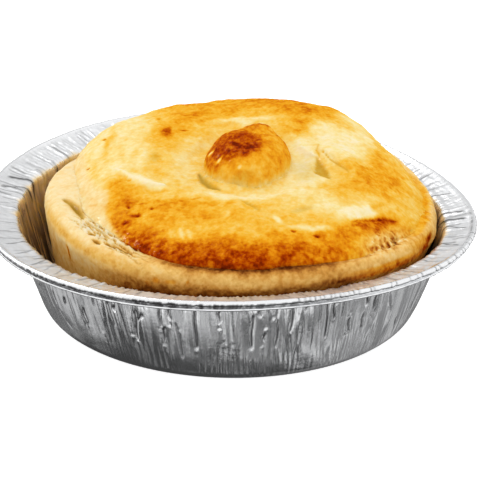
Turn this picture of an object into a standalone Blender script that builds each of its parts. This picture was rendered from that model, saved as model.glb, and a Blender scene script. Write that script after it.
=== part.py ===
"""A round savoury pie with a domed pastry lid and a pastry button on it, in its own foil tin.

Lengths are millimetres and angles degrees; points become metres as the meshes are made.
The origin is the centre of the tin's underside, +Z is up, and the pie's front faces -Y.
Angles run round +Z from +X. A wave is a list of (turns, cosine part, sine part).
"""
import math

import bmesh
import bpy
from mathutils import Vector, noise

MM = 0.001
CONTACT_GAP = 0.3

# Foil tin
TIN_SIDES = 108
TIN_RIM_RADIUS = 62.5
TIN_RIM_HEIGHT = 26.2
TIN_FLANGE_WIDTH = 8.3
TIN_FLANGE_RISE = 1.4
TIN_BASE_RADIUS = 47.7
TIN_BASE_OFFSET = (1.3, 0.0)
TIN_CORNER_RUN = 1.9
TIN_CORNER_SHARE = 0.075
TIN_WALL_SHARES = (0.38, 0.70)
TIN_FOIL = 0.5
TIN_BEAD_RADIUS = 0.9
TIN_PLEAT_DEPTH = 0.2
TIN_WRINKLE_DEPTH = 0.08
TIN_RADIUS_WAVE = [(2, -0.34, -0.21), (3, 0.42, -1.04), (4, 0.10, -0.70)]
TIN_HEIGHT_WAVE = [(1, -0.34, 0.24), (2, -0.71, -0.34), (3, 0.36, -0.02)]
TIN_FLANGE_WAVE = [(1, -0.69, 0.17), (2, -0.27, -0.05), (3, -0.02, -0.45)]

# Pastry case
PIE_SIDES = 88
PIE_CENTRE = (3.9, -0.6)
CASE_RADIUS = 49.8
CASE_RADIUS_WAVE = [(2, 0.03, -0.17), (3, -0.04, 0.21), (5, 0.12, 0.10)]
CASE_RIM_HEIGHT = 28.8
CASE_RIM_WAVE = [(1, -0.6, 0.8), (2, -0.56, 0.86), (3, -1.15, 0.11)]
CASE_ROLL_HEIGHT = 3.9
CASE_ROLL_WIDTH = 3.1
CASE_FOOT_CENTRE = (2.0, 0.6)
CASE_FOOT_RADIUS = 44.6
CASE_FOOT_HEIGHT = 3.8
CASE_FOOT_INSET = 2.6
CASE_CREASE_ANGLE = 282.0

# Pastry lid
LID_MARGIN = 3.2
LID_MARGIN_WIDE = 4.9
LID_MARGIN_WIDE_ANGLE = 203.0
LID_MARGIN_WIDE_SPREAD = 42.0
LID_EDGE_WAVE = [(7, 0.22, -0.15), (11, -0.14, 0.16), (16, 0.12, 0.08)]
LID_EDGE_DROP = 0.4
LID_EDGE_THICKNESS = 0.5
LID_RISE = 10.5
LID_BACK_RISE = (0.5, 4.5)
LID_SADDLE = (1.2, -0.6)
LID_FULLNESS = 3.3
LID_SHOULDER = 0.55
LID_HOLLOW_DEPTH = 2.6
LID_HOLLOW_PLACE = (-1.5, 3.0)
LID_HOLLOW_RADIUS = 17.0
LID_THICKNESS_SHARE = 0.4
LID_UNEVENNESS = 0.45
LID_UNEVEN_PITCH = 13.0
LID_FOLD_START = (19.6, 5.1)
LID_FOLD_END = (26.6, -5.8)
LID_FOLD_HEIGHT = 1.1
LID_FOLD_WIDTH = 3.2

# Pastry button
BUTTON_SIDES = 36
BUTTON_CENTRE = (1.6, -2.3)
BUTTON_RADII = (11.4, 12.8)
BUTTON_RADIUS_WAVE = [(2, 0.2, 0.35), (3, -0.35, 0.2), (5, 0.2, -0.15)]
BUTTON_HEIGHT = 7.2
BUTTON_EDGE_THICKNESS = 0.5
BUTTON_GAP = 0.4
BUTTON_DENT = 0.6
BUTTON_DENT_PITCH = 5.0
BUTTON_FULLNESS = 2.5
BUTTON_SHOULDER = 0.62
BUTTON_BACK_LIFT = 0.12
BUTTON_MOAT_DEPTH = 0.7
BUTTON_MOAT_RADIUS = 15.0
BUTTON_MOAT_WIDTH = 3.5

# Rings of points from the middle outwards, as shares of the radius
LID_TOP_RINGS = [0.15, 0.29, 0.42, 0.54, 0.65, 0.75, 0.83, 0.90, 0.945, 0.975, 0.993, 1.0]
LID_UNDER_RINGS = [0.3, 0.6, 0.85, 1.0]
BUTTON_RINGS = [0.35, 0.62, 0.8, 0.91, 0.97, 1.0]


def wave(turn, parts):
    """Sum of a wave's turns at an angle in radians."""
    return sum(c * math.cos(k * turn) + s * math.sin(k * turn) for k, c, s in parts)


def turns(count):
    """The angles of a ring's points, in radians."""
    return [2 * math.pi * i / count for i in range(count)]


def mix(a, b, share):
    """The point or number that lies that share of the way from a to b."""
    if isinstance(a, tuple):
        return tuple(mix(p, q, share) for p, q in zip(a, b))
    return a + (b - a) * share


def polar(centre, radius, turn, height):
    """A point at a radius and angle round a centre."""
    x = centre[0] + radius * math.cos(turn)
    y = centre[1] + radius * math.sin(turn)
    return (x, y, height)


def near_angle(turn, degrees, spread, power=2):
    """1 at that angle, falling smoothly to 0 over the spread."""
    away = (turn - math.radians(degrees) + math.pi) % (2 * math.pi) - math.pi
    return math.exp(-abs(away / math.radians(spread)) ** power)


# Foil tin


def tin_rim_radius(turn):
    return TIN_RIM_RADIUS + wave(turn, TIN_RADIUS_WAVE)


def tin_rim_height(turn):
    return TIN_RIM_HEIGHT + wave(turn, TIN_HEIGHT_WAVE)


def tin_mouth(turn, inset=0.0, drop=0.0):
    """The edge where the wall turns out into the flange, moved in and down."""
    radius = tin_rim_radius(turn) - TIN_FLANGE_WIDTH - wave(turn, TIN_FLANGE_WAVE) - inset
    return polar((0, 0), radius, turn, tin_rim_height(turn) - TIN_FLANGE_RISE - drop)


def tin_wall(turn, share, inset, pleat):
    """A point of the wall, a share of the way from the base to the mouth."""
    base = polar(TIN_BASE_OFFSET, TIN_BASE_RADIUS - inset + pleat, turn, 0.0)
    return mix(base, tin_mouth(turn, inset - pleat, 0.0), share)


def tin_section(index, turn):
    """The tin's cut at one angle, from under the base up, over the bead and down inside."""
    side = 1 if index % 2 else -1
    uneven = 0.6 + 0.8 * noise.noise(Vector((0.37 * index, 2.5, 0.0)))
    pleat = side * TIN_PLEAT_DEPTH * uneven
    wrinkle = side * TIN_WRINKLE_DEPTH
    rim = tin_rim_radius(turn)
    top = tin_rim_height(turn)
    flat = TIN_BASE_RADIUS - TIN_CORNER_RUN
    low, high = TIN_WALL_SHARES
    bead_root = rim - 2.0 * TIN_BEAD_RADIUS
    under = [
        polar(TIN_BASE_OFFSET, flat, turn, 0.0),
        polar(TIN_BASE_OFFSET, flat + 0.8 * TIN_CORNER_RUN, turn, 0.4),
        tin_wall(turn, TIN_CORNER_SHARE, 0.0, pleat / 2),
        tin_wall(turn, low, 0.0, pleat),
        tin_wall(turn, high, 0.0, pleat),
        tin_mouth(turn, -0.45, 0.75),
        polar((0, 0), bead_root - 0.2, turn, top - 1.0 + wrinkle),
    ]
    bead = []
    for degrees in (-110, -55, 0, 55, 110):
        out = TIN_BEAD_RADIUS * math.cos(math.radians(degrees))
        up = TIN_BEAD_RADIUS * math.sin(math.radians(degrees))
        bead.append(polar((0, 0), rim - TIN_BEAD_RADIUS + out, turn, top - 0.3 + up))
    over = [
        polar((0, 0), bead_root - 0.5, turn, top - 0.35 + wrinkle),
        tin_mouth(turn, -0.6, -0.1 - wrinkle),
        tin_mouth(turn, TIN_FOIL / 2, 0.5),
        tin_wall(turn, high, TIN_FOIL, pleat),
        tin_wall(turn, low, TIN_FOIL, pleat),
        tin_wall(turn, TIN_CORNER_SHARE + 0.02, TIN_FOIL, pleat / 2),
        polar(TIN_BASE_OFFSET, flat + 0.5 * TIN_CORNER_RUN, turn, TIN_FOIL + 0.3),
        polar(TIN_BASE_OFFSET, flat - 0.3, turn, TIN_FOIL),
    ]
    return under + bead + over


# Pastry case


def case_radius(turn):
    crease = 0.35 * near_angle(turn, CASE_CREASE_ANGLE, 3.0)
    return CASE_RADIUS + wave(turn, CASE_RADIUS_WAVE) - crease


def case_rim_height(turn):
    return CASE_RIM_HEIGHT + wave(turn, CASE_RIM_WAVE)


def lid_radius(turn):
    margin = LID_MARGIN + LID_MARGIN_WIDE * near_angle(
        turn, LID_MARGIN_WIDE_ANGLE, LID_MARGIN_WIDE_SPREAD, 3
    )
    return case_radius(turn) - margin + wave(turn, LID_EDGE_WAVE)


def case_wall(turn, share):
    """A point of the outer wall, a share of the way from the foot up to the roll."""
    foot = polar(CASE_FOOT_CENTRE, CASE_FOOT_RADIUS, turn, CASE_FOOT_HEIGHT)
    top = polar(PIE_CENTRE, case_radius(turn), turn, case_rim_height(turn) - CASE_ROLL_HEIGHT)
    return mix(foot, top, share)


def case_crest(turn):
    """Radius of the rim's highest line, which stays clear of the lid's edge."""
    return max(case_radius(turn) - CASE_ROLL_WIDTH, lid_radius(turn) + 0.9)


def case_section(turn):
    """The case's cut at one angle, from its underside up the wall and over the roll to the lid."""
    bottom = TIN_FOIL + CONTACT_GAP
    top = case_rim_height(turn)
    crest = case_crest(turn)
    points = [
        polar(CASE_FOOT_CENTRE, CASE_FOOT_RADIUS - CASE_FOOT_INSET, turn, bottom),
        polar(CASE_FOOT_CENTRE, CASE_FOOT_RADIUS - 0.8, turn, bottom + 1.0),
        case_wall(turn, 0.0),
        case_wall(turn, 0.5),
        case_wall(turn, 1.0),
    ]
    for degrees in (30, 60, 90):
        out = (case_radius(turn) - crest) * math.cos(math.radians(degrees))
        up = CASE_ROLL_HEIGHT * (math.sin(math.radians(degrees)) - 1)
        points.append(polar(PIE_CENTRE, crest + out, turn, top + up))
    groove = CONTACT_GAP + 0.4 * near_angle(turn, LID_MARGIN_WIDE_ANGLE, 25)
    points.append(polar(PIE_CENTRE, lid_radius(turn) + 0.4, turn, top - LID_EDGE_DROP - groove))
    for share in reversed(LID_UNDER_RINGS):
        x, y, z = lid_under(turn, share)
        points.append((x, y, z - CONTACT_GAP))
    return points


# Pastry lid


def lid_edge_height(turn, share):
    """Height of the lid's edge, carried smoothly in to the middle."""
    return CASE_RIM_HEIGHT - LID_EDGE_DROP + share * share * wave(turn, CASE_RIM_WAVE)


def lid_smooth_rise(turn, share):
    """How far the lid's top stands above its edge, without its finer relief."""
    rise = LID_RISE + share * (
        LID_BACK_RISE[0] * math.cos(turn) + LID_BACK_RISE[1] * math.sin(turn)
    )
    rise += share ** 2 * (
        LID_SADDLE[0] * math.cos(2 * turn) + LID_SADDLE[1] * math.sin(2 * turn)
    )
    shoulder = LID_SHOULDER - 0.15 * math.sin(turn) + 0.35 * math.cos(2 * turn)
    x = share * lid_radius(turn) * math.cos(turn) - LID_HOLLOW_PLACE[0]
    y = share * lid_radius(turn) * math.sin(turn) - LID_HOLLOW_PLACE[1]
    hollow = LID_HOLLOW_DEPTH * math.exp(-(x * x + y * y) / LID_HOLLOW_RADIUS ** 2)
    return rise * (1 - share ** LID_FULLNESS) ** max(shoulder, 0.3) - hollow


def button_distance(x, y):
    return math.hypot(x - BUTTON_CENTRE[0], y - BUTTON_CENTRE[1])


def lid_relief(x, y, share):
    """The lid's moat round the button, its fold and its uneven crust, in pie coordinates."""
    away = button_distance(x, y)
    moat = BUTTON_MOAT_DEPTH * math.exp(
        -(((away - BUTTON_MOAT_RADIUS) / BUTTON_MOAT_WIDTH) ** 2)
    )
    run = (LID_FOLD_END[0] - LID_FOLD_START[0], LID_FOLD_END[1] - LID_FOLD_START[1])
    length = math.hypot(*run)
    dx, dy = x - LID_FOLD_START[0], y - LID_FOLD_START[1]
    along = (dx * run[0] + dy * run[1]) / length
    across = (dx * -run[1] + dy * run[0]) / length
    within = math.exp(-(((along - length / 2) / (0.62 * length)) ** 4))
    step = across / LID_FOLD_WIDTH
    fold = LID_FOLD_HEIGHT * step * math.exp(0.5 - step * step / 2) * within
    clear = min(max((away - 11.0) / 5.0, 0.0), 1.0)
    bumps = noise.noise(Vector((x / LID_UNEVEN_PITCH, y / LID_UNEVEN_PITCH, 4.2)))
    return (fold + LID_UNEVENNESS * bumps * 2 * clear) * (1 - share ** 6) - moat


def lid_top(turn, share):
    radius = share * lid_radius(turn)
    x, y = radius * math.cos(turn), radius * math.sin(turn)
    rise = max(lid_smooth_rise(turn, share), 0.0) + lid_relief(x, y, share)
    rise = max(rise, LID_EDGE_THICKNESS)
    return polar(PIE_CENTRE, radius, turn, lid_edge_height(turn, share) + rise)


def lid_under(turn, share):
    radius = share * lid_radius(turn)
    rise = (1 - LID_THICKNESS_SHARE) * max(lid_smooth_rise(turn, share), 0.0)
    return polar(PIE_CENTRE, radius, turn, lid_edge_height(turn, share) + rise)


def lid_height_at(x, y):
    """Height of the lid's top at a place in pie coordinates."""
    turn = math.atan2(y, x)
    return lid_top(turn, math.hypot(x, y) / lid_radius(turn))[2]


# Pastry button


def button_point(turn, share, top):
    """A point of the button's domed top or of its underside, which follows the lid."""
    reach = wave(turn, BUTTON_RADIUS_WAVE)
    x = BUTTON_CENTRE[0] + share * (BUTTON_RADII[0] + reach) * math.cos(turn)
    y = BUTTON_CENTRE[1] + share * (BUTTON_RADII[1] + reach) * math.sin(turn)
    height = lid_height_at(x, y) + BUTTON_GAP
    if top:
        dome = (1 - share ** BUTTON_FULLNESS) ** BUTTON_SHOULDER
        dent = BUTTON_DENT * noise.noise(Vector((x, y, 40.0)) / BUTTON_DENT_PITCH)
        lift = BUTTON_BACK_LIFT * (y - BUTTON_CENTRE[1])
        height += BUTTON_EDGE_THICKNESS + (BUTTON_HEIGHT + lift + dent) * dome
    return (PIE_CENTRE[0] + x, PIE_CENTRE[1] + y, height)


# Meshes


def material(name, colour, roughness, metallic):
    made = bpy.data.materials.new(name)
    made.use_nodes = True
    made.diffuse_color = (*colour, 1)
    shader = made.node_tree.nodes["Principled BSDF"]
    shader.inputs["Base Color"].default_value = (*colour, 1)
    shader.inputs["Roughness"].default_value = roughness
    shader.inputs["Metallic"].default_value = metallic
    return made


def turned_solid(name, sections, low_middle, high_middle, look):
    """A closed solid from cuts at even angles. Each cut runs from the underside's middle,
    round the outside, to the top's middle; the two middles close it."""
    mesh = bmesh.new()
    rings = [[mesh.verts.new(Vector(p) * MM) for p in section] for section in sections]
    low = mesh.verts.new(Vector(low_middle) * MM)
    high = mesh.verts.new(Vector(high_middle) * MM)
    for here, after in zip(rings, rings[1:] + rings[:1]):
        mesh.faces.new((low, after[0], here[0]))
        for i in range(len(here) - 1):
            mesh.faces.new((here[i], after[i], after[i + 1], here[i + 1]))
        mesh.faces.new((here[-1], after[-1], high))
    bmesh.ops.triangulate(mesh, faces=mesh.faces[:])
    data = bpy.data.meshes.new(name)
    mesh.to_mesh(data)
    mesh.free()
    data.shade_smooth()
    data.set_sharp_from_angle(angle=math.radians(40))
    made = bpy.data.objects.new(name, data)
    made.data.materials.append(look)
    bpy.context.scene.collection.objects.link(made)
    return made


def make_tin(look):
    sections = [tin_section(i, turn) for i, turn in enumerate(turns(TIN_SIDES))]
    x, y = TIN_BASE_OFFSET
    return turned_solid("foil_tray", sections, (x, y, 0.0), (x, y, TIN_FOIL), look)


def make_case(look):
    sections = [case_section(turn) for turn in turns(PIE_SIDES)]
    x, y, z = lid_under(0.0, 0.0)
    low = (*CASE_FOOT_CENTRE, TIN_FOIL + CONTACT_GAP)
    return turned_solid("crust_base", sections, low, (x, y, z - CONTACT_GAP), look)


def make_lid(look):
    sections = []
    for turn in turns(PIE_SIDES):
        under = [lid_under(turn, share) for share in LID_UNDER_RINGS]
        top = [lid_top(turn, share) for share in reversed(LID_TOP_RINGS)]
        sections.append(under + top)
    return turned_solid("crust_lid", sections, lid_under(0.0, 0.0), lid_top(0.0, 0.0), look)


def make_button(look):
    sections = []
    for turn in turns(BUTTON_SIDES):
        under = [button_point(turn, share, False) for share in BUTTON_RINGS]
        top = [button_point(turn, share, True) for share in reversed(BUTTON_RINGS)]
        sections.append(under + top)
    low, high = button_point(0.0, 0.0, False), button_point(0.0, 0.0, True)
    return turned_solid("pastry_button", sections, low, high, look)


def main():
    for old in list(bpy.data.objects):
        bpy.data.objects.remove(old)
    make_tin(material("foil", (0.72, 0.73, 0.74), 0.28, 1.0))
    make_case(material("pale pastry", (0.90, 0.66, 0.33), 0.55, 0.0))
    make_lid(material("baked pastry", (0.84, 0.46, 0.12), 0.42, 0.0))
    make_button(material("glazed pastry", (0.72, 0.30, 0.05), 0.32, 0.0))


main()
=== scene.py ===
"""Looks of a round savoury pie with a pastry button on its lid, in its own foil tin.

Lengths are millimetres and angles radians, unless a name says degrees; meshes are made in metres.
A place on the lid is (x, y) from the pie's centre, with +x to the right and +y to the back.
Angles run round +Z from +X. A wave is a list of (turns, cosine part, sine part).
"""
import itertools
import math

import bpy
import numpy as np
from mathutils import Matrix, Vector, noise


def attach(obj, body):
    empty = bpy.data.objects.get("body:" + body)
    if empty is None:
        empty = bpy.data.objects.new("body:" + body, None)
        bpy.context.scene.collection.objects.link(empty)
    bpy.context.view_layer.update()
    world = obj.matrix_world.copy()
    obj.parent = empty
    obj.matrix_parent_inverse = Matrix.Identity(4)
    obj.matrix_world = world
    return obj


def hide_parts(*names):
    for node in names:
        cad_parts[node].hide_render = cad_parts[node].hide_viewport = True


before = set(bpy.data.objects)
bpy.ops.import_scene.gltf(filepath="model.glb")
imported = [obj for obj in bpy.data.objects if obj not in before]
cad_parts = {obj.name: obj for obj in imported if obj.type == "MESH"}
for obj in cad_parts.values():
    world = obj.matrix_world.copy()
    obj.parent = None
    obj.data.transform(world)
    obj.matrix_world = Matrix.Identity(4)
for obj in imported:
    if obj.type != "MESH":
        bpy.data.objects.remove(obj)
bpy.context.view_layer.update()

MM = 0.001
CONTACT_GAP = 0.3

# Foil tin, as the model has it
TIN_RIM_RADIUS = 62.5
TIN_RIM_HEIGHT = 26.2
TIN_FLANGE_WIDTH = 8.3
TIN_FLANGE_RISE = 1.4
TIN_BASE_RADIUS = 47.7
TIN_BASE_OFFSET = (1.3, 0.0)
TIN_CORNER_RUN = 1.9
TIN_FOIL = 0.5
TIN_BEAD_RADIUS = 0.9
TIN_RADIUS_WAVE = [(2, -0.34, -0.21), (3, 0.42, -1.04), (4, 0.10, -0.70)]
TIN_HEIGHT_WAVE = [(1, -0.34, 0.24), (2, -0.71, -0.34), (3, 0.36, -0.02)]
TIN_FLANGE_WAVE = [(1, -0.69, 0.17), (2, -0.27, -0.05), (3, -0.02, -0.45)]

# Foil tin, finer form
TIN_COLUMNS = 1200
TIN_SHELL_STEP = 0.06
TIN_WALL_BULGE = 0.7
TIN_ROLL_RADIUS = 0.7
TIN_LIP_RADIUS = 0.35
# The lip under the bead and the recess between them: (distance in from the rim, depth below it)
TIN_LIP_PLACE = (1.15, 1.75)
TIN_RECESS = [(1.45, 1.25), (1.35, 0.85)]
TIN_BASE_RINGS = (12.0, 28.0, 40.0, 44.5)
TIN_BASE_RINGS_INSIDE = (38.0, 20.0)
# Shares of the wall's rise where it leaves its rounded foot and reaches its rounded brow
WALL_SHARES = (0.10, 0.94)
WALL_SHARES_INSIDE = (0.13, 0.93)
WALL_TOP = 24.5
WALL_MIDDLE = 14.0
# Radii at which lengths round the foil are measured, from the foot up and out to the rolled edge
FOOT_RING = 50.0
SLIT_RING = 51.0
WALL_RING = 52.0
MOUTH_RING = 54.0
FLANGE_RING = 56.0
WRINKLE_RING = 57.0
BEAD_RING = 62.0
# How far up along the foil a form starts, is full, begins to fade and ends
FLUTES_RUN = (0.8, 3.0, 8.0, 14.0)
TEETH_RUN = (23.0, 25.5, 27.0, 29.5)
FLUTE_PITCH = 1.2
FACET_PITCH = 2.3
PLEAT_PITCH = 1.15
DART_COUNT = 84
ROLL_CRIMPS = 70
SATIN_ROWS = 18
# Where the roll's underside is painted dark as a reflection of the dark table: (degrees, half spread)
ROLL_SHADE = (240.0, 56.0)
# Folds across the flange that run on down the inner wall: (degrees at the bead, at the mouth and at
# the low end, height of the low end, half width, strength of the shade painted in it), with no
# degrees at the bead for a fold that starts at the mouth
FLANGE_FOLDS = [
    (None, 149.6, 151.0, 12.0, 0.50, 1.0),
    (164.8, 162.8, 168.0, 2.0, 0.80, 1.0),
    (171.0, 167.8, 167.5, 20.0, 0.40, 1.0),
    (172.8, 172.3, 172.0, 9.0, 0.26, 0.7),
    (181.0, 178.0, 177.0, 12.0, 0.22, 0.5),
    (192.4, 192.7, 192.0, 14.0, 0.24, 0.6),
    (207.8, 205.4, 205.0, 18.0, 0.30, 0.95),
    (214.0, 212.0, 211.5, 18.0, 0.26, 0.8),
    (221.4, 219.0, 218.5, 18.0, 0.30, 0.9),
    (225.8, 222.4, 222.0, 20.0, 0.22, 0.6),
    (229.4, 226.0, 226.0, 20.0, 0.24, 0.7),
    (22.0, 21.0, 20.0, 14.0, 0.3, 0.8),
    (9.0, 10.4, 9.0, 12.0, 0.35, 0.9),
    (357.0, 358.6, 361.0, 8.0, 0.62, 1.0),
    (353.0, 353.4, 358.5, 8.0, 0.62, 1.0),
    (347.2, 349.8, 347.0, 8.0, 0.35, 1.0),
    (336.6, 338.8, 337.0, 12.0, 0.35, 1.0),
    (325.6, 326.4, 325.0, 15.0, 0.30, 0.8),
    (61.0, 62.0, 64.0, 12.0, 0.3, 0.8),
    (96.0, 96.5, 97.0, 15.0, 0.3, 0.7),
    (122.0, 121.0, 120.0, 10.0, 0.3, 0.8),
]
FLANGE_WRINKLES = 290
INNER_SLITS = 110
# Slits in the wall's front: (degrees and height at the top, degrees and height at the foot, depth, which
# also sets their painted shade)
TIN_SLITS = [
    (217.1, 15.0, 217.1, 11.9, 0.5),
    (222.6, 15.2, 221.8, 12.9, 0.5),
    (217.5, 10.2, 218.2, 7.8, 0.3),
    (218.5, 7.4, 220.2, 5.5, 0.3),
    (225.5, 16.0, 225.0, 9.0, 0.2),
    (234.8, 19.5, 234.4, 16.8, 0.3),
    (229.9, 14.8, 229.9, 9.9, 0.35),
    (241.0, 18.8, 241.0, 17.4, 0.6),
    (239.2, 19.2, 240.0, 13.0, 0.25),
    (246.8, 18.4, 246.1, 10.0, 0.6),
    (248.9, 18.3, 247.2, 15.8, 0.4),
    (253.6, 20.5, 253.4, 15.3, 0.35),
    (254.1, 15.1, 253.5, 10.7, 0.35),
    (255.7, 20.3, 256.2, 17.6, 0.35),
    (257.5, 16.8, 258.2, 6.7, 0.3),
    (262.6, 21.0, 262.1, 9.8, 0.5),
    (268.5, 21.0, 268.5, 17.4, 0.5),
    (276.9, 19.3, 276.5, 9.8, 0.7),
    (279.8, 13.8, 279.7, 11.8, 0.4),
    (278.6, 21.0, 278.6, 18.9, 0.35),
    (283.4, 17.5, 283.1, 9.9, 0.4),
    (287.6, 22.0, 286.8, 13.7, 0.45),
    (290.4, 22.0, 290.6, 19.1, 0.35),
    (296.8, 22.0, 296.9, 10.0, 0.6),
    (298.4, 20.5, 298.7, 15.4, 0.5),
    (303.5, 14.5, 304.0, 10.6, 0.5),
    (309.3, 20.5, 309.0, 16.8, 0.55),
    (311.8, 20.0, 311.4, 14.7, 0.55),
    (308.5, 14.9, 308.3, 10.2, 0.4),
    (316.2, 19.5, 318.5, 12.8, 0.3),
    (323.4, 8.7, 324.0, 5.7, 0.4),
]
# Dimples that catch the light, mostly at the foot of a slit: (degrees, height)
TIN_DIMPLES = [
    (228.3, 10.2), (229.4, 9.2), (235.0, 8.8), (244.8, 10.5), (246.2, 9.2), (253.4, 9.4),
    (253.2, 13.8), (258.2, 14.3), (255.7, 15.3), (262.0, 9.1), (268.4, 15.2), (280.2, 14.9),
    (286.6, 16.8), (279.4, 9.9), (269.3, 10.9), (303.4, 9.9), (299.1, 19.3), (277.7, 20.2),
    (271.8, 10.3), (282.3, 17.6), (304.6, 20.0), (308.7, 16.2), (311.3, 13.4), (303.9, 15.2),
]
# Slits drawn at random round the rest of the wall, and the degrees where they start and how far they go
HIDDEN_SLITS = 52
HIDDEN_SLITS_DEGREES = (-33, 248)

# Pastry case, as the model has it
PIE_CENTRE = (3.9, -0.6)
CASE_RADIUS = 49.8
CASE_RADIUS_WAVE = [(2, 0.03, -0.17), (3, -0.04, 0.21), (5, 0.12, 0.10)]
CASE_RIM_HEIGHT = 28.8
CASE_RIM_WAVE = [(1, -0.6, 0.8), (2, -0.56, 0.86), (3, -1.15, 0.11)]
CASE_ROLL_HEIGHT = 3.9
CASE_ROLL_WIDTH = 3.1
CASE_FOOT_CENTRE = (2.0, 0.6)
CASE_FOOT_RADIUS = 44.6
CASE_FOOT_HEIGHT = 3.8
CASE_FOOT_INSET = 2.6
CASE_CREASE_DEGREES = 282.0
CASE_COLUMNS = 900

# Pastry lid, as the model has it
LID_MARGIN = 3.2
LID_MARGIN_WIDE = 4.9
LID_MARGIN_WIDE_DEGREES = 203.0
LID_MARGIN_WIDE_SPREAD = 42.0
LID_EDGE_WAVE = [(7, 0.22, -0.15), (11, -0.14, 0.16), (16, 0.12, 0.08)]
LID_EDGE_DROP = 0.4
LID_EDGE_THICKNESS = 0.5
LID_RISE = 10.5
LID_BACK_RISE = (0.5, 4.5)
LID_SADDLE = (1.2, -0.6)
LID_FULLNESS = 3.3
LID_SHOULDER = 0.55
LID_HOLLOW_DEPTH = 2.6
LID_HOLLOW_PLACE = (-1.5, 3.0)
LID_HOLLOW_RADIUS = 17.0
LID_THICKNESS_SHARE = 0.4
LID_UNEVENNESS = 0.45
LID_UNEVEN_PITCH = 13.0
LID_FOLD_START = (19.6, 5.1)
LID_FOLD_END = (26.6, -5.8)
LID_FOLD_HEIGHT = 1.1
LID_FOLD_WIDTH = 3.2
LID_COLUMNS = 720
LID_ROWS = 128
LID_LAST_ROW = 0.9985
LID_PROBE_DEGREES = (0, 90, 180, 250, 290)

# Pastry button, as the model has it
BUTTON_CENTRE = (1.6, -2.3)
BUTTON_RADII = (11.4, 12.8)
BUTTON_RADIUS_WAVE = [(2, 0.2, 0.35), (3, -0.35, 0.2), (5, 0.2, -0.15)]
BUTTON_HEIGHT = 7.2
BUTTON_EDGE_THICKNESS = 0.5
BUTTON_GAP = 0.4
BUTTON_DENT = 0.6
BUTTON_DENT_PITCH = 5.0
BUTTON_FULLNESS = 2.5
BUTTON_SHOULDER = 0.62
BUTTON_BACK_LIFT = 0.12
BUTTON_MOAT_DEPTH = 0.7
BUTTON_MOAT_RADIUS = 15.0
BUTTON_MOAT_WIDTH = 3.5
BUTTON_COLUMNS = 340
BUTTON_ROWS = 80

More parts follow.
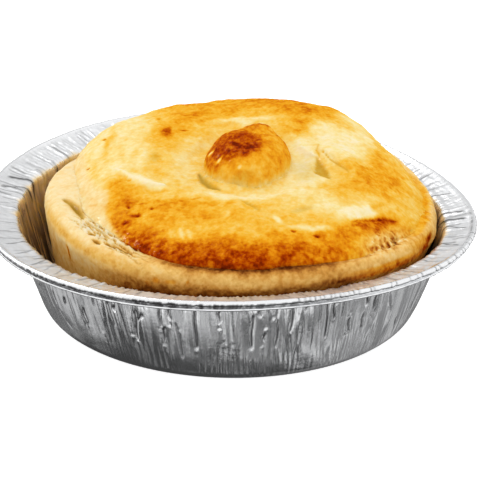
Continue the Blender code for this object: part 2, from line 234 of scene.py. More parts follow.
# How far the pastry is browned, as brush strokes on the lid that are laid one on another:
# (x, y, half length, half width, direction in degrees, browning from 0 to 1, strength)
LID_STROKES = [
    # Golden back, with darker spots
    (3, 38, 34, 10, 0, 0.61, 1.0),
    (-12, 26, 13, 7, 10, 0.55, 1.0),
    (-4, 35, 9, 5, 0, 0.52, 0.8),
    (-19.5, 15, 9, 4.2, 82, 0.54, 0.95),
    (-13, 15, 5, 4, 0, 0.46, 0.8),
    (18, 27, 11, 7, -10, 0.60, 1.0),
    (13.5, 16, 6, 4, 90, 0.50, 0.9),
    (-22, 8, 4, 3, 0, 0.44, 0.8),
    (10, 35, 9, 3, 0, 0.66, 0.7),
    (0, 22, 8, 1.5, 5, 0.12, 0.85),
    (-22.5, 23.5, 1.8, 0.9, 100, 0.84, 1.0),
    (-19.3, 15.5, 3.2, 1.2, 85, 0.86, 1.0),
    (-15, 15.7, 0.9, 0.7, 0, 0.74, 0.8),
    (-12.5, 26, 1.6, 0.8, 80, 0.64, 0.6),
    (-6, 27, 3.0, 1.2, 0, 0.62, 0.6),
    (12, 28.5, 2.4, 2.0, 0, 0.66, 0.6),
    (14, 15, 1.6, 1.0, 85, 0.70, 0.8),
    (15.5, 20, 1.8, 1.0, 0, 0.68, 0.7),
    (18, 26.5, 2.6, 1.6, 80, 0.70, 0.7),
    (21.5, 36.5, 2.2, 0.8, 90, 0.98, 0.95),
    # Pale left, with golden streaks
    (-33, 20, 19, 10, 80, 0.15, 1.0),
    (-33, 0, 12, 9, 90, 0.18, 1.0),
    (-37, -8, 8, 5, 110, 0.22, 0.9),
    (-34, 12, 8, 1.2, 82, 0.40, 0.7),
    (-30.5, 6, 5, 1.0, 95, 0.34, 0.6),
    (-37.5, 2, 6, 1.0, 95, 0.36, 0.6),
    (-25, 1, 7, 1.2, 85, 0.12, 0.7),
    (-21.5, -1, 8, 1.6, 95, 0.40, 0.85),
    (-19.5, -6, 5, 1.4, 80, 0.34, 0.7),
    (-14.5, -2, 11, 3.2, 88, 0.17, 0.85),
    (-11, 10, 3.5, 2.5, 60, 0.22, 0.7),
    # Cream swirl round the button
    (-27, -8, 5, 1.4, -45, 0.08, 0.9),
    (-21.5, -13, 5.5, 1.6, -35, 0.06, 0.95),
    (-16, -12, 5, 1.5, -50, 0.36, 0.8),
    (-13, -17, 7, 2, -28, 0.30, 0.9),
    (-3, -19.5, 9, 2, -5, 0.12, 0.9),
    (8, -19, 9, 3, 5, 0.12, 0.9),
    (15, -13, 7, 5, 50, 0.13, 0.95),
    (15, -2, 8, 4, 90, 0.10, 0.9),
    (15, 8, 6, 3, 100, 0.08, 0.9),
    # Orange brown left front, with a paler blistered patch
    (-30, -13, 6, 3.4, 100, 0.54, 0.95),
    (-28, -19.5, 7, 4.6, -50, 0.62, 0.95),
    (-22, -24, 8, 4.6, -30, 0.53, 0.95),
    (-12, -26, 11, 5, -15, 0.60, 0.95),
    (-2, -30.5, 13, 4.5, -5, 0.50, 0.9),
    (-22, -31, 8, 4, -35, 0.46, 0.9),
    (-21.5, -29.5, 4, 1.2, -45, 0.30, 0.8),
    (-27, -19, 3, 1.4, -20, 0.74, 0.8),
    (-31, -20, 1.6, 1.2, 0, 0.70, 0.7),
    (-29, -24.5, 4, 2, -50, 0.70, 0.7),
    (-18, -21.5, 5, 1, -15, 0.64, 0.6),
    # Yellow middle front, with olive flecks and cream streaks
    (0, -26, 9, 3.4, 0, 0.36, 0.85),
    (11, -26, 8, 4, 5, 0.32, 0.85),
    (4, -32, 8, 3, 0, 0.41, 0.8),
    (15, -30, 7, 3, 10, 0.41, 0.8),
    (24, -31.5, 9, 3, 22, 0.50, 0.9),
    (-2.5, -23.6, 1.6, 0.6, -10, 0.46, 0.8),
    (2, -24.5, 3.6, 0.7, -52, 0.46, 0.8),
    (14.5, -26.5, 3.4, 1.4, 25, 0.40, 0.8),
    (8, -22, 3, 0.7, -10, 0.34, 0.5),
    (17.5, -19, 7, 4, 10, 0.17, 0.8),
    (20, -24, 7, 3, 25, 0.15, 0.8),
    (26.5, -24, 7, 2.0, 52, 0.03, 1.0),
    (16.5, -33.5, 4.6, 1.2, 3, 0.04, 0.95),
    (8.6, -31, 2.4, 0.9, -72, 0.05, 0.9),
    # Golden right, with a pale back
    (35, -4, 15, 8, 78, 0.53, 1.0),
    (27, -13, 8, 4, 30, 0.48, 0.9),
    (22, -15, 4, 2, 20, 0.36, 0.8),
    (30, -8, 7, 2, 45, 0.58, 0.7),
    (38, -2, 9, 2.2, 75, 0.56, 0.7),
    (35, -14, 8, 1.6, 50, 0.50, 0.6),
    (30, -18, 6, 1.2, 50, 0.20, 0.7),
    (38, -12, 6, 1.0, 60, 0.26, 0.6),
    (24, 14, 12, 6, 80, 0.08, 1.0),
    (31, 22, 10, 4, 115, 0.12, 0.9),
    (24, 4, 4, 4, 80, 0.10, 0.9),
    (28.5, 9, 7, 3.6, 100, 0.07, 0.95),
    (37.5, 13, 10, 2.4, 100, 0.42, 0.7),
    (40, 22, 10, 2.4, 118, 0.42, 0.7),
    (27, -1, 3, 1.6, 60, 0.40, 0.7),
    (36, 9, 3, 1.4, 90, 0.56, 0.7),
    # Brown patch at the right front, and its cracked outer strip
    (29, -29.5, 7, 3.4, 40, 0.66, 1.0),
    (33, -25.5, 8, 2.6, 48, 0.76, 1.0),
    (31.5, -27.5, 4, 1.8, 48, 0.88, 0.9),
    (28, -31, 7, 2.4, 38, 0.60, 0.9),
    (36.5, -27, 7, 1.6, 52, 0.50, 0.8),
    (37, -29, 6, 1.4, 50, 0.30, 0.85),
    (25.5, 22.5, 5, 3.6, -25, 0.40, 0.7),
]
# The steep band round the lid's edge, by (degrees, half spread in degrees, depth from the edge,
# browning, strength)
LID_BAND = [
    (90, 75, 4.0, 0.60, 0.8),
    (20, 38, 3.0, 0.46, 0.7),
    (180, 28, 5.0, 0.26, 0.8),
    (210, 14, 5.0, 0.30, 0.8),
    (222, 20, 0.7, 0.10, 0.8),
    (228, 16, 5.0, 0.66, 0.85),
    (266, 30, 12.0, 0.69, 1.0),
    (258, 33, 7.2, 0.85, 0.95),
    (264, 30, 2.6, 0.93, 0.9),
    (296, 12, 9.0, 0.74, 0.9),
    (318, 13, 5.0, 0.42, 0.9),
    (334, 10, 3.0, 0.60, 0.8),
]
# Ridges, and where negative hollows, in the lid: (x, y, half length, half width, degrees, height)
LID_RIDGES = [
    (-36, 19.5, 13, 6.5, 59, 1.7),
    (-24, 36, 10, 6, 35, 0.7),
    (-27, -8.5, 6, 1.3, -44, 0.5),
    (-20.5, -13.8, 6, 1.5, -33, 0.5),
    (-12.5, -17.8, 6, 1.6, -25, 0.35),
    (-24.5, -1, 8, 1.0, 95, 0.25),
    (0, 22, 8, 1.4, 5, 0.35),
    (-12, 8, 8, 1.6, 60, 0.25),
    (16, 6, 5, 1.5, 115, 0.4),
    (28, -22, 8, 1.4, 50, 0.4),
    (2, -24.5, 3.6, 0.6, -52, -0.25),
    (14.5, -26.5, 3.0, 0.8, 25, -0.2),
    (-30, -16, 6, 1.0, 100, 0.25),
    (-24, -21.5, 7, 0.8, -35, 0.2),
    (-17, -29, 8, 0.9, -15, 0.25),
    (-5, -28, 8, 0.9, -8, 0.2),
]
# Lines on the lid: (points, half width, height, browning, its strength, how much painted olive shade)
LID_LINES = [
    ([(20.2, 4.6), (22.2, 0.2), (24.6, -2.4), (26.2, -3.8), (26.7, -5.2)], 0.22, -0.35, 0.50, 0.8, 0.2),
    ([(19.8, 9.0), (19.0, 5.4), (19.8, 2.2)], 0.22, -0.25, 0.46, 0.8, 0.1),
    ([(15.2, 7.2), (16.6, 5.2), (18.4, 3.2)], 1.1, 0.45, 0.02, 0.9, 0.0),
    ([(26.2, -28.0), (29.0, -25.5), (34.5, -21.1), (38.1, -19.3)], 0.4, -0.3, 0.92, 0.8, 0.0),
    (
        [(-31.4, -4.1), (-27.4, -9.1), (-24.5, -11.9), (-22.0, -13.2), (-18.9, -13.8)],
        0.95, 0.5, 0.02, 0.95, 0.0,
    ),
    # Painted shade: a golden line in the hollow under the cream ridge above, where the ridge's shadow falls
    ([(-29.0, -10.6), (-26.0, -13.6), (-22.0, -15.8), (-17.0, -16.4)], 0.8, -0.2, 0.48, 0.7, 0.0),
    # Painted shade: an olive line in the hollow beside the button's lower left
    ([(-10.6, -6.5), (-9.6, -10.0), (-7.9, -13.0), (-5.4, -15.2)], 0.9, -0.6, 0.40, 0.7, 0.85),
    ([(-21.6, -23.4), (-18.0, -22.4), (-10.0, -20.6)], 0.5, -0.2, 0.66, 0.7, 0.0),
    ([(-37.0, -15.5), (-33.5, -17.5), (-31.5, -21.5)], 0.7, -0.15, 0.44, 0.6, 0.0),
    ([(-14.6, -32.8), (-14.2, -35.0), (-13.6, -37.0)], 0.6, 0.12, 0.12, 0.7, 0.0),
    ([(-12.6, -34.0), (-11.9, -37.4)], 0.6, 0.12, 0.16, 0.7, 0.0),
    ([(-16.9, -32.6), (-16.6, -35.2)], 0.5, 0.12, 0.18, 0.6, 0.0),
]
# Where the egg wash missed the lid's left edge
LID_BARE_CORNERS = [
    (-33.0, -12.5), (-32.6, -16.0), (-32.9, -21.0), (-30.6, -26.6), (-28.0, -31.0), (-30.0, -31.0),
    (-35.0, -25.0), (-42.0, -14.0), (-47.0, 12.0), (-40.0, 16.0), (-39.0, 0.0), (-36.0, -9.0),
]
# Patches with a clear outline on the lid: (corners, softness, browning, its strength, height, how much
# painted olive shade)
LID_SHAPES = [
    # Painted shade: the olive hollow on the face of the fold's step
    (
        [(18.9, 2.3), (20.0, -0.5), (21.7, -4.8), (22.0, -9.0), (19.8, -8.0), (18.1, -6.1)],
        0.5, 0.5, 0.8, -0.7, 0.6,
    ),
    (
        [(22.9, -25.8), (26.0, -22.2), (30.6, -19.0), (33.0, -20.6), (29.4, -24.0), (25.4, -27.8)],
        0.9, 0.05, 0.9, 0.1, 0.0,
    ),
    (LID_BARE_CORNERS, 0.6, 0.24, 0.9, 0.0, 0.0),
    (
        [(-17.8, -30.8), (-12.5, -31.6), (-9.0, -35.8), (-11.2, -38.6), (-15.6, -37.6), (-19.0, -34.0)],
        1.5, 0.42, 0.75, 0.15, 0.0,
    ),
    (
        [(26.2, -28.0), (29.0, -25.5), (34.5, -21.1), (38.1, -19.3), (35.9, -22.6), (33.0, -28.1),
         (30.5, -29.9), (28.0, -30.0), (26.1, -30.1)],
        0.7, 0.76, 0.9, -0.15, 0.0,
    ),
]
# Olive shade painted into the lid's hollows: (x, y, half length, half width, degrees, strength)
LID_OLIVE_SHADES = [
    (16, -5, 7, 3.2, 88, 0.22),
    (2, -24.5, 3.6, 0.6, -52, 0.35),
    (14.5, -26.5, 3.0, 0.9, 25, 0.25),
    (-21.8, 0.7, 2.4, 1.2, 90, 0.25),
]
# Dark pinholes and scorched specks: (x, y, half length, half width, direction, darkness)
LID_SPECKS = [
    (-27.5, -20.5, 0.7, 0.45, -60, 0.9),
    (-25.4, -24.6, 1.5, 0.75, -25, 1.0),
    (-28.1, -26.0, 0.9, 0.6, -40, 0.95),
    (-21.6, -23.6, 0.7, 0.5, -60, 0.9),
    (-14.2, -24.5, 0.5, 0.35, -40, 0.7),
    (-39, 4, 0.5, 0.4, 0, 0.9),
    (-35, 14.5, 0.5, 0.4, 0, 0.8),
    (-27.8, -10.2, 0.6, 0.35, -30, 0.6),
    (12, -35.5, 0.7, 0.5, 0, 0.9),
    (17.3, -36.6, 0.8, 0.6, 0, 0.95),
]
# The crumbled strip at the right front: (x, y, half length, half width, degrees)
CRUMBLE = (35.0, -28.8, 9.5, 2.6, 53.0)
CRUMBLE_PITCH = 1.5
CRUMBLE_HEIGHT = 0.46
CRUMBLE_BROWNING = 0.53
CRUMBLE_CONTRAST = 0.50

# Shaded gaps between the ledge's flaky layers, painted dark and olive: (points, half width, height,
# browning, how olive)
LEDGE_GAPS = [
    ([(-44.0, -9.4), (-42.2, -11.6), (-40.5, -14.4), (-39.2, -17.4), (-38.6, -19.6)], 1.1, -0.6, 0.56, 0.75),
    ([(-42.0, -12.0), (-40.7, -14.2), (-39.6, -16.8)], 0.55, -0.5, 0.84, 0.9),
    ([(-36.6, -27.6), (-34.8, -28.8)], 0.55, -0.6, 0.70, 0.5),
    ([(-35.2, -31.0), (-33.4, -33.1)], 0.6, -0.7, 0.80, 0.5),
    ([(-33.4, -30.4), (-31.8, -31.0)], 0.5, -0.6, 0.76, 0.4),
    ([(-32.0, -33.2), (-29.8, -34.6), (-28.2, -35.2)], 0.7, -0.8, 0.80, 0.5),
    ([(-28.4, -35.4), (-27.0, -36.8), (-25.6, -38.1)], 0.7, -0.9, 0.82, 0.5),
    ([(-26.2, -33.4), (-25.0, -34.8), (-23.6, -35.8)], 0.5, -0.5, 0.66, 0.3),
    ([(-36.4, -23.0), (-34.0, -26.6), (-31.6, -29.6)], 0.4, -0.35, 0.50, 0.4),
    ([(-37.6, -22.0), (-35.6, -26.0)], 0.35, -0.3, 0.46, 0.4),
]
# Browner sides of the case: (degrees, half spread, more browning)
CASE_SIDES = [
    (266, 36, 0.30),
    (320, 34, 0.16),
]
# Belts round part of the case's wall: (degrees, half spread, depth below the rim, half height), with
# a golden one where the egg wash ran down, and browner ones by how much more they are browned
CASE_GOLDEN_BELT = (216, 27, 2.1, 1.2)
CASE_BELTS = [
    (312, 24, 3.4, 1.1, 0.30),
    (40, 75, 1.5, 2.5, 0.12),
]
# Spots on the case's wall: (degrees, half spread, depth below the rim, half height, browning, strength)
CASE_SPOTS = [
    (246.6, 1.0, 3.2, 0.6, 0.78, 0.7),
    (250.8, 1.5, 3.0, 0.45, 0.70, 0.6),
    (244.2, 0.8, 4.2, 0.5, 0.70, 0.5),
    (255.5, 0.4, 2.6, 0.4, 0.80, 0.6),
    (212.4, 0.8, 6.0, 2.0, 0.82, 0.9),
    (334.0, 8.0, 1.6, 1.4, 0.62, 0.7),
    (317.0, 15.0, 2.5, 0.6, 0.62, 0.85),
    (314.0, 13.0, 3.4, 0.7, 0.80, 0.85),
    (339.3, 2.7, 2.1, 0.9, 0.93, 1.0),
    (335.8, 2.6, 3.2, 0.8, 0.92, 1.0),
    (329.5, 3.0, 3.6, 0.6, 0.80, 0.8),
]

# Brush strokes on the button, as on the lid; the last three are painted highlights
BUTTON_STROKES = [
    (1.5, -2, 13, 14, 0, 0.54, 1.0),
    (-6.5, -3.5, 3.2, 6.5, 0, 0.70, 0.85),
    (7.5, -3, 4.5, 9, 0, 0.56, 0.9),
    (2.0, 6.5, 8, 3.4, 0, 0.66, 0.8),
    (4.6, 4.6, 3.6, 1.6, 10, 0.76, 0.9),
    (9.4, 2.2, 1.4, 1.6, 0, 0.72, 0.9),
    (-1.2, -3.8, 5.8, 7.0, 0, 0.83, 1.0),
    (0.2, -5.0, 3.6, 4.6, 0, 0.89, 0.9),
    (-3.7, -7.0, 3.2, 3.0, 0, 0.87, 0.9),
    (2.0, -7.6, 2.2, 1.8, 0, 0.90, 0.8),
    (3, -12.6, 9, 2.6, 0, 0.47, 0.9),
    (-5, -11.2, 4, 1.8, 0, 0.46, 0.6),
    # Painted highlights: three small cream strokes that stand for glints on the glaze
    (-7.2, -4.4, 0.7, 0.5, 0, 0.02, 0.8),
    (-5.8, -8.2, 0.7, 0.5, 0, 0.02, 0.8),
    (-0.3, -12.0, 0.6, 0.45, 0, 0.04, 0.75),
]
# Lumps and dents of the button: (x, y, half length, half width, degrees, height)
BUTTON_LUMPS = [
    (4.3, 4.8, 3.4, 2.8, 0, 1.3),
    (9.4, 5.4, 1.2, 2.2, 35, -1.2),
    (-3.5, 2.0, 5.0, 2.6, 25, 0.3),
    (0.0, -4.2, 3.2, 2.8, 0, -0.3),
    (-6.0, -8.0, 2.2, 1.4, -50, 0.35),
    (5.0, -9.5, 3.5, 2.0, 20, 0.25),
]
# Olive shade painted in the seam at the button's front, as a stroke
BUTTON_SEAM_SHADE = (-1.0, -13.6, 4.0, 0.9, 0)
BUTTON_SINK = 0.6
BUTTON_SKIRT = 0.9
BUTTON_EDGE_RISE = 0.3

# Colours of washed pastry, from unbaked to scorched: (browning, red, green, blue) as a screen shows them
BROWNING_COLOURS = [
    (0.00, 254, 240, 198),
    (0.14, 252, 229, 158),
    (0.28, 250, 209, 108),
    (0.42, 248, 189, 62),
    (0.55, 242, 166, 28),
    (0.68, 226, 134, 12),
    (0.80, 198, 92, 2),
    (0.90, 164, 54, 0),
    (1.00, 116, 30, 0),
]
# Colours of pastry without egg wash, in the same way
CASE_COLOURS = [
    (0.00, 254, 241, 208),
    (0.20, 252, 227, 170),
    (0.40, 247, 200, 116),
    (0.60, 218, 156, 72),
    (0.80, 162, 98, 36),
    (1.00, 84, 34, 8),
]
# Painted shade: an olive colour laid into the pastry's hollows, gaps and seams
OLIVE_SHADE_COLOUR = (184, 148, 52)
# Clean foil has the first two colours in patches
FOIL_COLOURS = ((238, 239, 240), (224, 225, 227))
# Golden colour of the inner wall: partly grease, partly a painted reflection of the pastry
FOIL_GREASE_AND_PAINTED_REFLECTION_COLOUR = (255, 219, 124)
# Painted shade and painted reflection: dark colour laid into the foil's folds, slits, crimps, panels and the
# roll's underside
FOIL_PAINTED_SHADE_COLOUR = (52, 50, 50)

# The stage, in metres
FLOOR_HALF = 3.0
LIGHT_AIM = (0, 0, 0.03)

# Brightness of the studio by height of the direction, from the darkest side of the table upwards
WORLD_STRENGTH = 1.15
WORLD_UP = (0.0, -0.3, 1.0)
WORLD_GREYS = [
    (-1.0, 0.015),
    (-0.90, 0.04),
    (-0.78, 0.11),
    (-0.60, 0.34),
    (-0.45, 0.60),
    (-0.25, 0.92),
    (0.0, 1.0),
]
# How far uneven patches shift that height, how fine they are along each axis, and the least brightness
WORLD_UNEVENNESS = 2.2
WORLD_PATCHES = (4.5, 4.5, 1.2)
WORLD_DARKEST = 0.05
# Lighter or darker parts of the studio: (direction, closeness to it at the inner and at the outer
# edge, where 1 is closest, change of brightness)
WORLD_LOBES = [
    ((0.70, 0.20, -0.68), 0.95, 0.70, 0.15),
    ((-0.82, 0.26, -0.51), 0.975, 0.93, 0.49),
    ((-0.74, -0.14, -0.64), 0.996, 0.98, 0.14),
    ((-0.65, 0.04, -0.76), 0.99, 0.94, -0.16),
    ((-0.62, -0.44, -0.65), 0.99, 0.95, 0.24),
    ((0.46, -0.38, -0.80), 0.99, 0.94, -0.15),
    ((0.02, -0.60, -0.80), 0.993, 0.96, -0.11),
    ((0.0, 0.90, 0.43), 0.97, 0.75, -0.30),
]
# How bright the pastry's colours are as materials, where the scene's light shows them as listed
PASTRY_SHARE = 0.82
# Uneven browning of all pastry: (pitch, detail, half width of its patches' soft edges, amount)
PASTRY_MOTTLE = [
    (6.0, 3.0, 0.25, 0.13),
    (2.4, 5.0, 0.06, 0.11),
    (0.9, 3.0, 0.12, 0.11),
]

# Camera, as the photograph has it
CAMERA_PLACE = (0.0, -0.40548, 0.19515)
CAMERA_AZIMUTH = -0.909
CAMERA_ELEVATION = 24.275
CAMERA_ROLL = 1.174
CAMERA_LENS = 124.27
CAMERA_SENSOR = 36.0


class Bumps:
    """Smooth repeatable noise, about -1 to 1, at any number of points."""

    def __init__(self, seed):
        draw = np.random.default_rng(seed)
        self.order = draw.permutation(256)
        slopes = draw.normal(size=(256, 3))
        self.slopes = slopes / np.linalg.norm(slopes, axis=1, keepdims=True)

    def at(self, x, y, z=0.0):
        x, y, z = np.broadcast_arrays(x, y, z)
        place = np.stack([x, y, z], axis=-1).astype(float)
        cell = np.floor(place).astype(int)
        within = place - cell
        fade = within ** 3 * (within * (within * 6 - 15) + 10)
        total = np.zeros(x.shape)
        for corner in itertools.product((0, 1), repeat=3):
            pick = self.order[(cell[..., 2] + corner[2]) & 255]
            pick = self.order[(pick + cell[..., 1] + corner[1]) & 255]
            pick = self.order[(pick + cell[..., 0] + corner[0]) & 255]
            dot = (self.slopes[pick] * (within - corner)).sum(-1)
            share = np.where(np.array(corner) == 1, fade, 1 - fade).prod(-1)
            total += share * dot
        return total * 1.7

    def rough(self, x, y, z=0.0, octaves=3):
        """Noise with finer noise added to it."""
        total = 0.0
        for octave in range(octaves):
            scale = 2.03 ** octave
            total = total + self.at(x * scale, y * scale, z * scale + 7.7 * octave) / 1.9 ** octave
        return total


def cell_spots(x, y, seed, pitch, low, high, kept):
    """Round bumps, 1 in the middle and 0 outside, one in each kept square of a loose grid."""
    u, v = x / pitch, y / pitch
    cell_u, cell_v = np.floor(u).astype(int), np.floor(v).astype(int)
    highest = np.zeros(np.broadcast(u, v).shape)
    draw = np.random.default_rng(seed).random((4, 64, 64))
    for du, dv in itertools.product((-1, 0, 1), repeat=2):
        i, j = (cell_u + du) & 63, (cell_v + dv) & 63
        centre_u = cell_u + du + draw[0, i, j]
        centre_v = cell_v + dv + draw[1, i, j]
        radius = (low + (high - low) * draw[2, i, j]) / pitch
        away = np.hypot(u - centre_u, v - centre_v) / radius
        bump = np.clip(1 - away ** 2, 0, 1) ** 1.5 * (draw[3, i, j] < kept)
        highest = np.maximum(highest, bump)
    return highest


def wave(turn, parts):
    """Sum of a wave's turns at angles."""
    return sum(c * np.cos(k * turn) + s * np.sin(k * turn) for k, c, s in parts)


def turns(count):
    return np.arange(count) * 2 * math.pi / count


def angle_from(turn, degrees):
    """How far angles are from one in degrees, the short way round."""
    return (turn - np.radians(degrees) + math.pi) % (2 * math.pi) - math.pi


def near_angle(turn, degrees, spread, power=2):
    """1 at that angle, falling smoothly to 0 over the spread."""
    return np.exp(-np.abs(angle_from(turn, degrees) / math.radians(spread)) ** power)


def smooth_step(value, low, high):
    share = np.clip((value - low) / (high - low), 0, 1)
    return share * share * (3 - 2 * share)


def stretch(value, start, full, fading, end):
    """1 along a stretch, rising smoothly before it and falling smoothly after it."""
    return smooth_step(value, start, full) * (1 - smooth_step(value, fading, end))


def crease_share(turn, degrees, ring, half, power=1.6):
    """1 at that angle on a ring, falling to 0 over a half width in millimetres."""
    return np.exp(-((np.abs(angle_from(turn, degrees)) * ring / half) ** power))


def polar(centre, radius, turn, height):
    """Points at a radius and angle round a centre."""
    x = centre[0] + radius * np.cos(turn)
    y = centre[1] + radius * np.sin(turn)
    return np.stack([x, y, height + 0.0 * x], axis=-1)


def straight(start, end, count):
    """Rows between two rows, without either of them."""
    shares = np.arange(1, count + 1) / (count + 1)
    return [start + (end - start) * share for share in shares]


def bend(start, pull, end, count):
    """Rows on a rounded corner, from its start to its end, both of them included."""
    shares = np.linspace(0, 1, count)
    return [start * (1 - t) ** 2 + pull * 2 * t * (1 - t) + end * t * t for t in shares]


def grid_normals(points):
    """Directions that face out of a closed grid of points (rows, columns)."""
    round_way = np.roll(points, -1, axis=1) - np.roll(points, 1, axis=1)
    normals = np.cross(round_way, np.gradient(points, axis=0))
    return normals / np.maximum(np.linalg.norm(normals, axis=-1, keepdims=True), 1e-9)


# Foil tin


def tin_rim_radius(turn):
    return TIN_RIM_RADIUS + wave(turn, TIN_RADIUS_WAVE)


def tin_rim_height(turn):
    return TIN_RIM_HEIGHT + wave(turn, TIN_HEIGHT_WAVE)


def tin_mouth(turn, out, up=0.0):
    """The edge where the wall turns out into the flange, moved out and up."""
    radius = tin_rim_radius(turn) - TIN_FLANGE_WIDTH - wave(turn, TIN_FLANGE_WAVE) + out
    return polar((0, 0), radius, turn, tin_rim_height(turn) - TIN_FLANGE_RISE + up)


def tin_base(turn, radius, height):
    """A ring of the flat base, or of its rounded corner."""
    return polar(TIN_BASE_OFFSET, radius, turn, height)


def tin_wall(turn, share, inset):
    """A row of the slightly bulging wall, a share of the way from the base to the mouth."""
    base = tin_base(turn, TIN_BASE_RADIUS - inset, 0.0)
    bulge = 4 * TIN_WALL_BULGE * share * (1 - share)
    return base + (tin_mouth(turn, -inset) - base) * share + bulge * polar((0, 0), 1.0, turn, 0.0)


def tin_arc(turn, out, down, radius, start, end, count):
    """Rows round a small tube in the rim, by degrees of its own cut."""
    rows = []
    for degrees in np.linspace(start, end, count):
        swing = math.radians(degrees)
        ring = tin_rim_radius(turn) - out + radius * math.cos(swing)
        rows.append(polar((0, 0), ring, turn, tin_rim_height(turn) - down + radius * math.sin(swing)))
    return rows


def tin_outside(turn):
    """Rows of the base's underside, and rows up the wall and out under the flange."""
    foot, brow = WALL_SHARES
    base = [tin_base(turn, radius, 0.0) for radius in TIN_BASE_RINGS]
    corner = bend(
        tin_base(turn, TIN_BASE_RADIUS - TIN_CORNER_RUN, 0.0),
        tin_base(turn, TIN_BASE_RADIUS + 0.1, 0.0),
        tin_wall(turn, foot, 0.0),
        8,
    )
    wall = [tin_wall(turn, share, 0.0) for share in np.linspace(foot, brow, 46)[1:-1]]
    turned_out = bend(tin_wall(turn, brow, 0.0), tin_mouth(turn, 0.1, -0.6), tin_mouth(turn, 2.0, -0.6), 7)
    return base, corner + wall + turned_out


def tin_inside(turn):
    """Rows from the flange's top in over the mouth and down the wall, and rows of the base's upper face."""
    foot, brow = WALL_SHARES_INSIDE
    top = tin_wall(turn, brow, TIN_FOIL)
    turned_in = bend(tin_mouth(turn, 2.0, 0.15), tin_mouth(turn, -0.4, 0.1), top, 8)
    wall = [tin_wall(turn, share, TIN_FOIL) for share in np.linspace(brow, foot, 18)[1:-1]]
    corner = bend(
        tin_wall(turn, foot, TIN_FOIL),
        tin_base(turn, TIN_BASE_RADIUS - TIN_FOIL, TIN_FOIL),
        tin_base(turn, TIN_BASE_RADIUS - TIN_CORNER_RUN - 0.5, TIN_FOIL),
        5,
    )
    base = [tin_base(turn, radius, TIN_FOIL) for radius in TIN_BASE_RINGS_INSIDE]
    return turned_in + wall + corner, base


def run_along(rows):
    """How far along the foil each row lies from the first, as a column of numbers."""
    steps = np.linalg.norm(np.diff(np.stack(rows), axis=0), axis=-1).mean(axis=1)
    return np.concatenate([[0.0], np.cumsum(steps)])[:, None]


def uneven_cells(turn, draw, pitch, ring):
    """Which of the uneven cells round the tin each angle lies in, how far across it, and their count."""
    count = int(2 * math.pi * ring / pitch)
    widths = draw.uniform(0.5, 1.5, count)
    edges = np.concatenate([[0.0], np.cumsum(widths)]) * 2 * math.pi / widths.sum()
    turn = turn % (2 * math.pi)
    cell = np.clip(np.searchsorted(edges, turn, side="right") - 1, 0, count - 1)
    return cell, (turn - edges[cell]) / (edges[cell + 1] - edges[cell]), count


def scallops(turn, seed, pitch, ring):
    """Rounded pleats of uneven width and height round the tin, with sharp valleys between."""
    draw = np.random.default_rng(seed)
    cell, share, count = uneven_cells(turn, draw, pitch, ring)
    heights = draw.uniform(0.25, 1.0, count) * draw.choice([1.0, 1.0, 0.35], count)
    return heights[cell] * (np.sin(math.pi * share) ** 0.75 - 0.6)


def facets(turn, seed, pitch, ring):
    """Flat strips of uneven width and tilt round the tin, joined at sharp edges, -1 to 1."""
    draw = np.random.default_rng(seed)
    cell, share, count = uneven_cells(turn, draw, pitch, ring)
    heights = draw.uniform(-1, 1, count)
    return heights[cell] * (1 - share) + heights[(cell + 1) % count] * share


def spaced_degrees(draw, count, start=0.0, spread=360.0):
    """Angles spread round the tin, one in each of equal stretches."""
    return start + (np.arange(count) + draw.random(count)) * spread / count


class Folds:
    """Relief of the foil's folds, and the shade and reflection painted into them."""

    def __init__(self, shape):
        self.relief = np.zeros(shape)
        self.dark = np.zeros(shape)

    def add(self, share, height, dark=0.0):
        """Adds a fold, where the share is 1 in its middle and 0 outside it, with that much painted shade."""
        self.relief += height * share
        self.dark = np.maximum(self.dark, dark * share)

    def shade(self, share):
        """Adds painted shade and painted reflection, without relief."""
        self.add(share, 0.0, 1.0)


def tin_slits():
    """The listed slits and dimples, and others like them round the rest of the wall."""
    draw = np.random.default_rng(31)
    slits, dimples = list(TIN_SLITS), list(TIN_DIMPLES)
    for degrees in spaced_degrees(draw, HIDDEN_SLITS, *HIDDEN_SLITS_DEGREES):
        top = draw.uniform(13, 23)
        foot = max(top - draw.uniform(2, 10), 5.0)
        lean = draw.normal(0, 0.6)
        slits.append((degrees, top, degrees + lean, foot, draw.uniform(0.25, 0.6)))
        if draw.random() < 0.6:
            dimples.append((degrees + lean, foot - 0.6))
    return slits, dimples


def slit_share(turn, height, top_degrees, top, foot_degrees, foot):
    """1 in the middle of a slit, falling quickly to 0 at its sides and ends."""
    down = np.clip((top - height) / (top - foot), 0, 1)
    middle = top_degrees + (foot_degrees - top_degrees) * down + 0.12 * np.sin(down * 7 + top)
    ends = stretch(height, foot - 0.4, foot + 0.5, top - 0.5, top + 0.4)
    return crease_share(turn, middle, SLIT_RING, 0.16 + 0.12 * np.sin(math.pi * down), 1.5) * ends


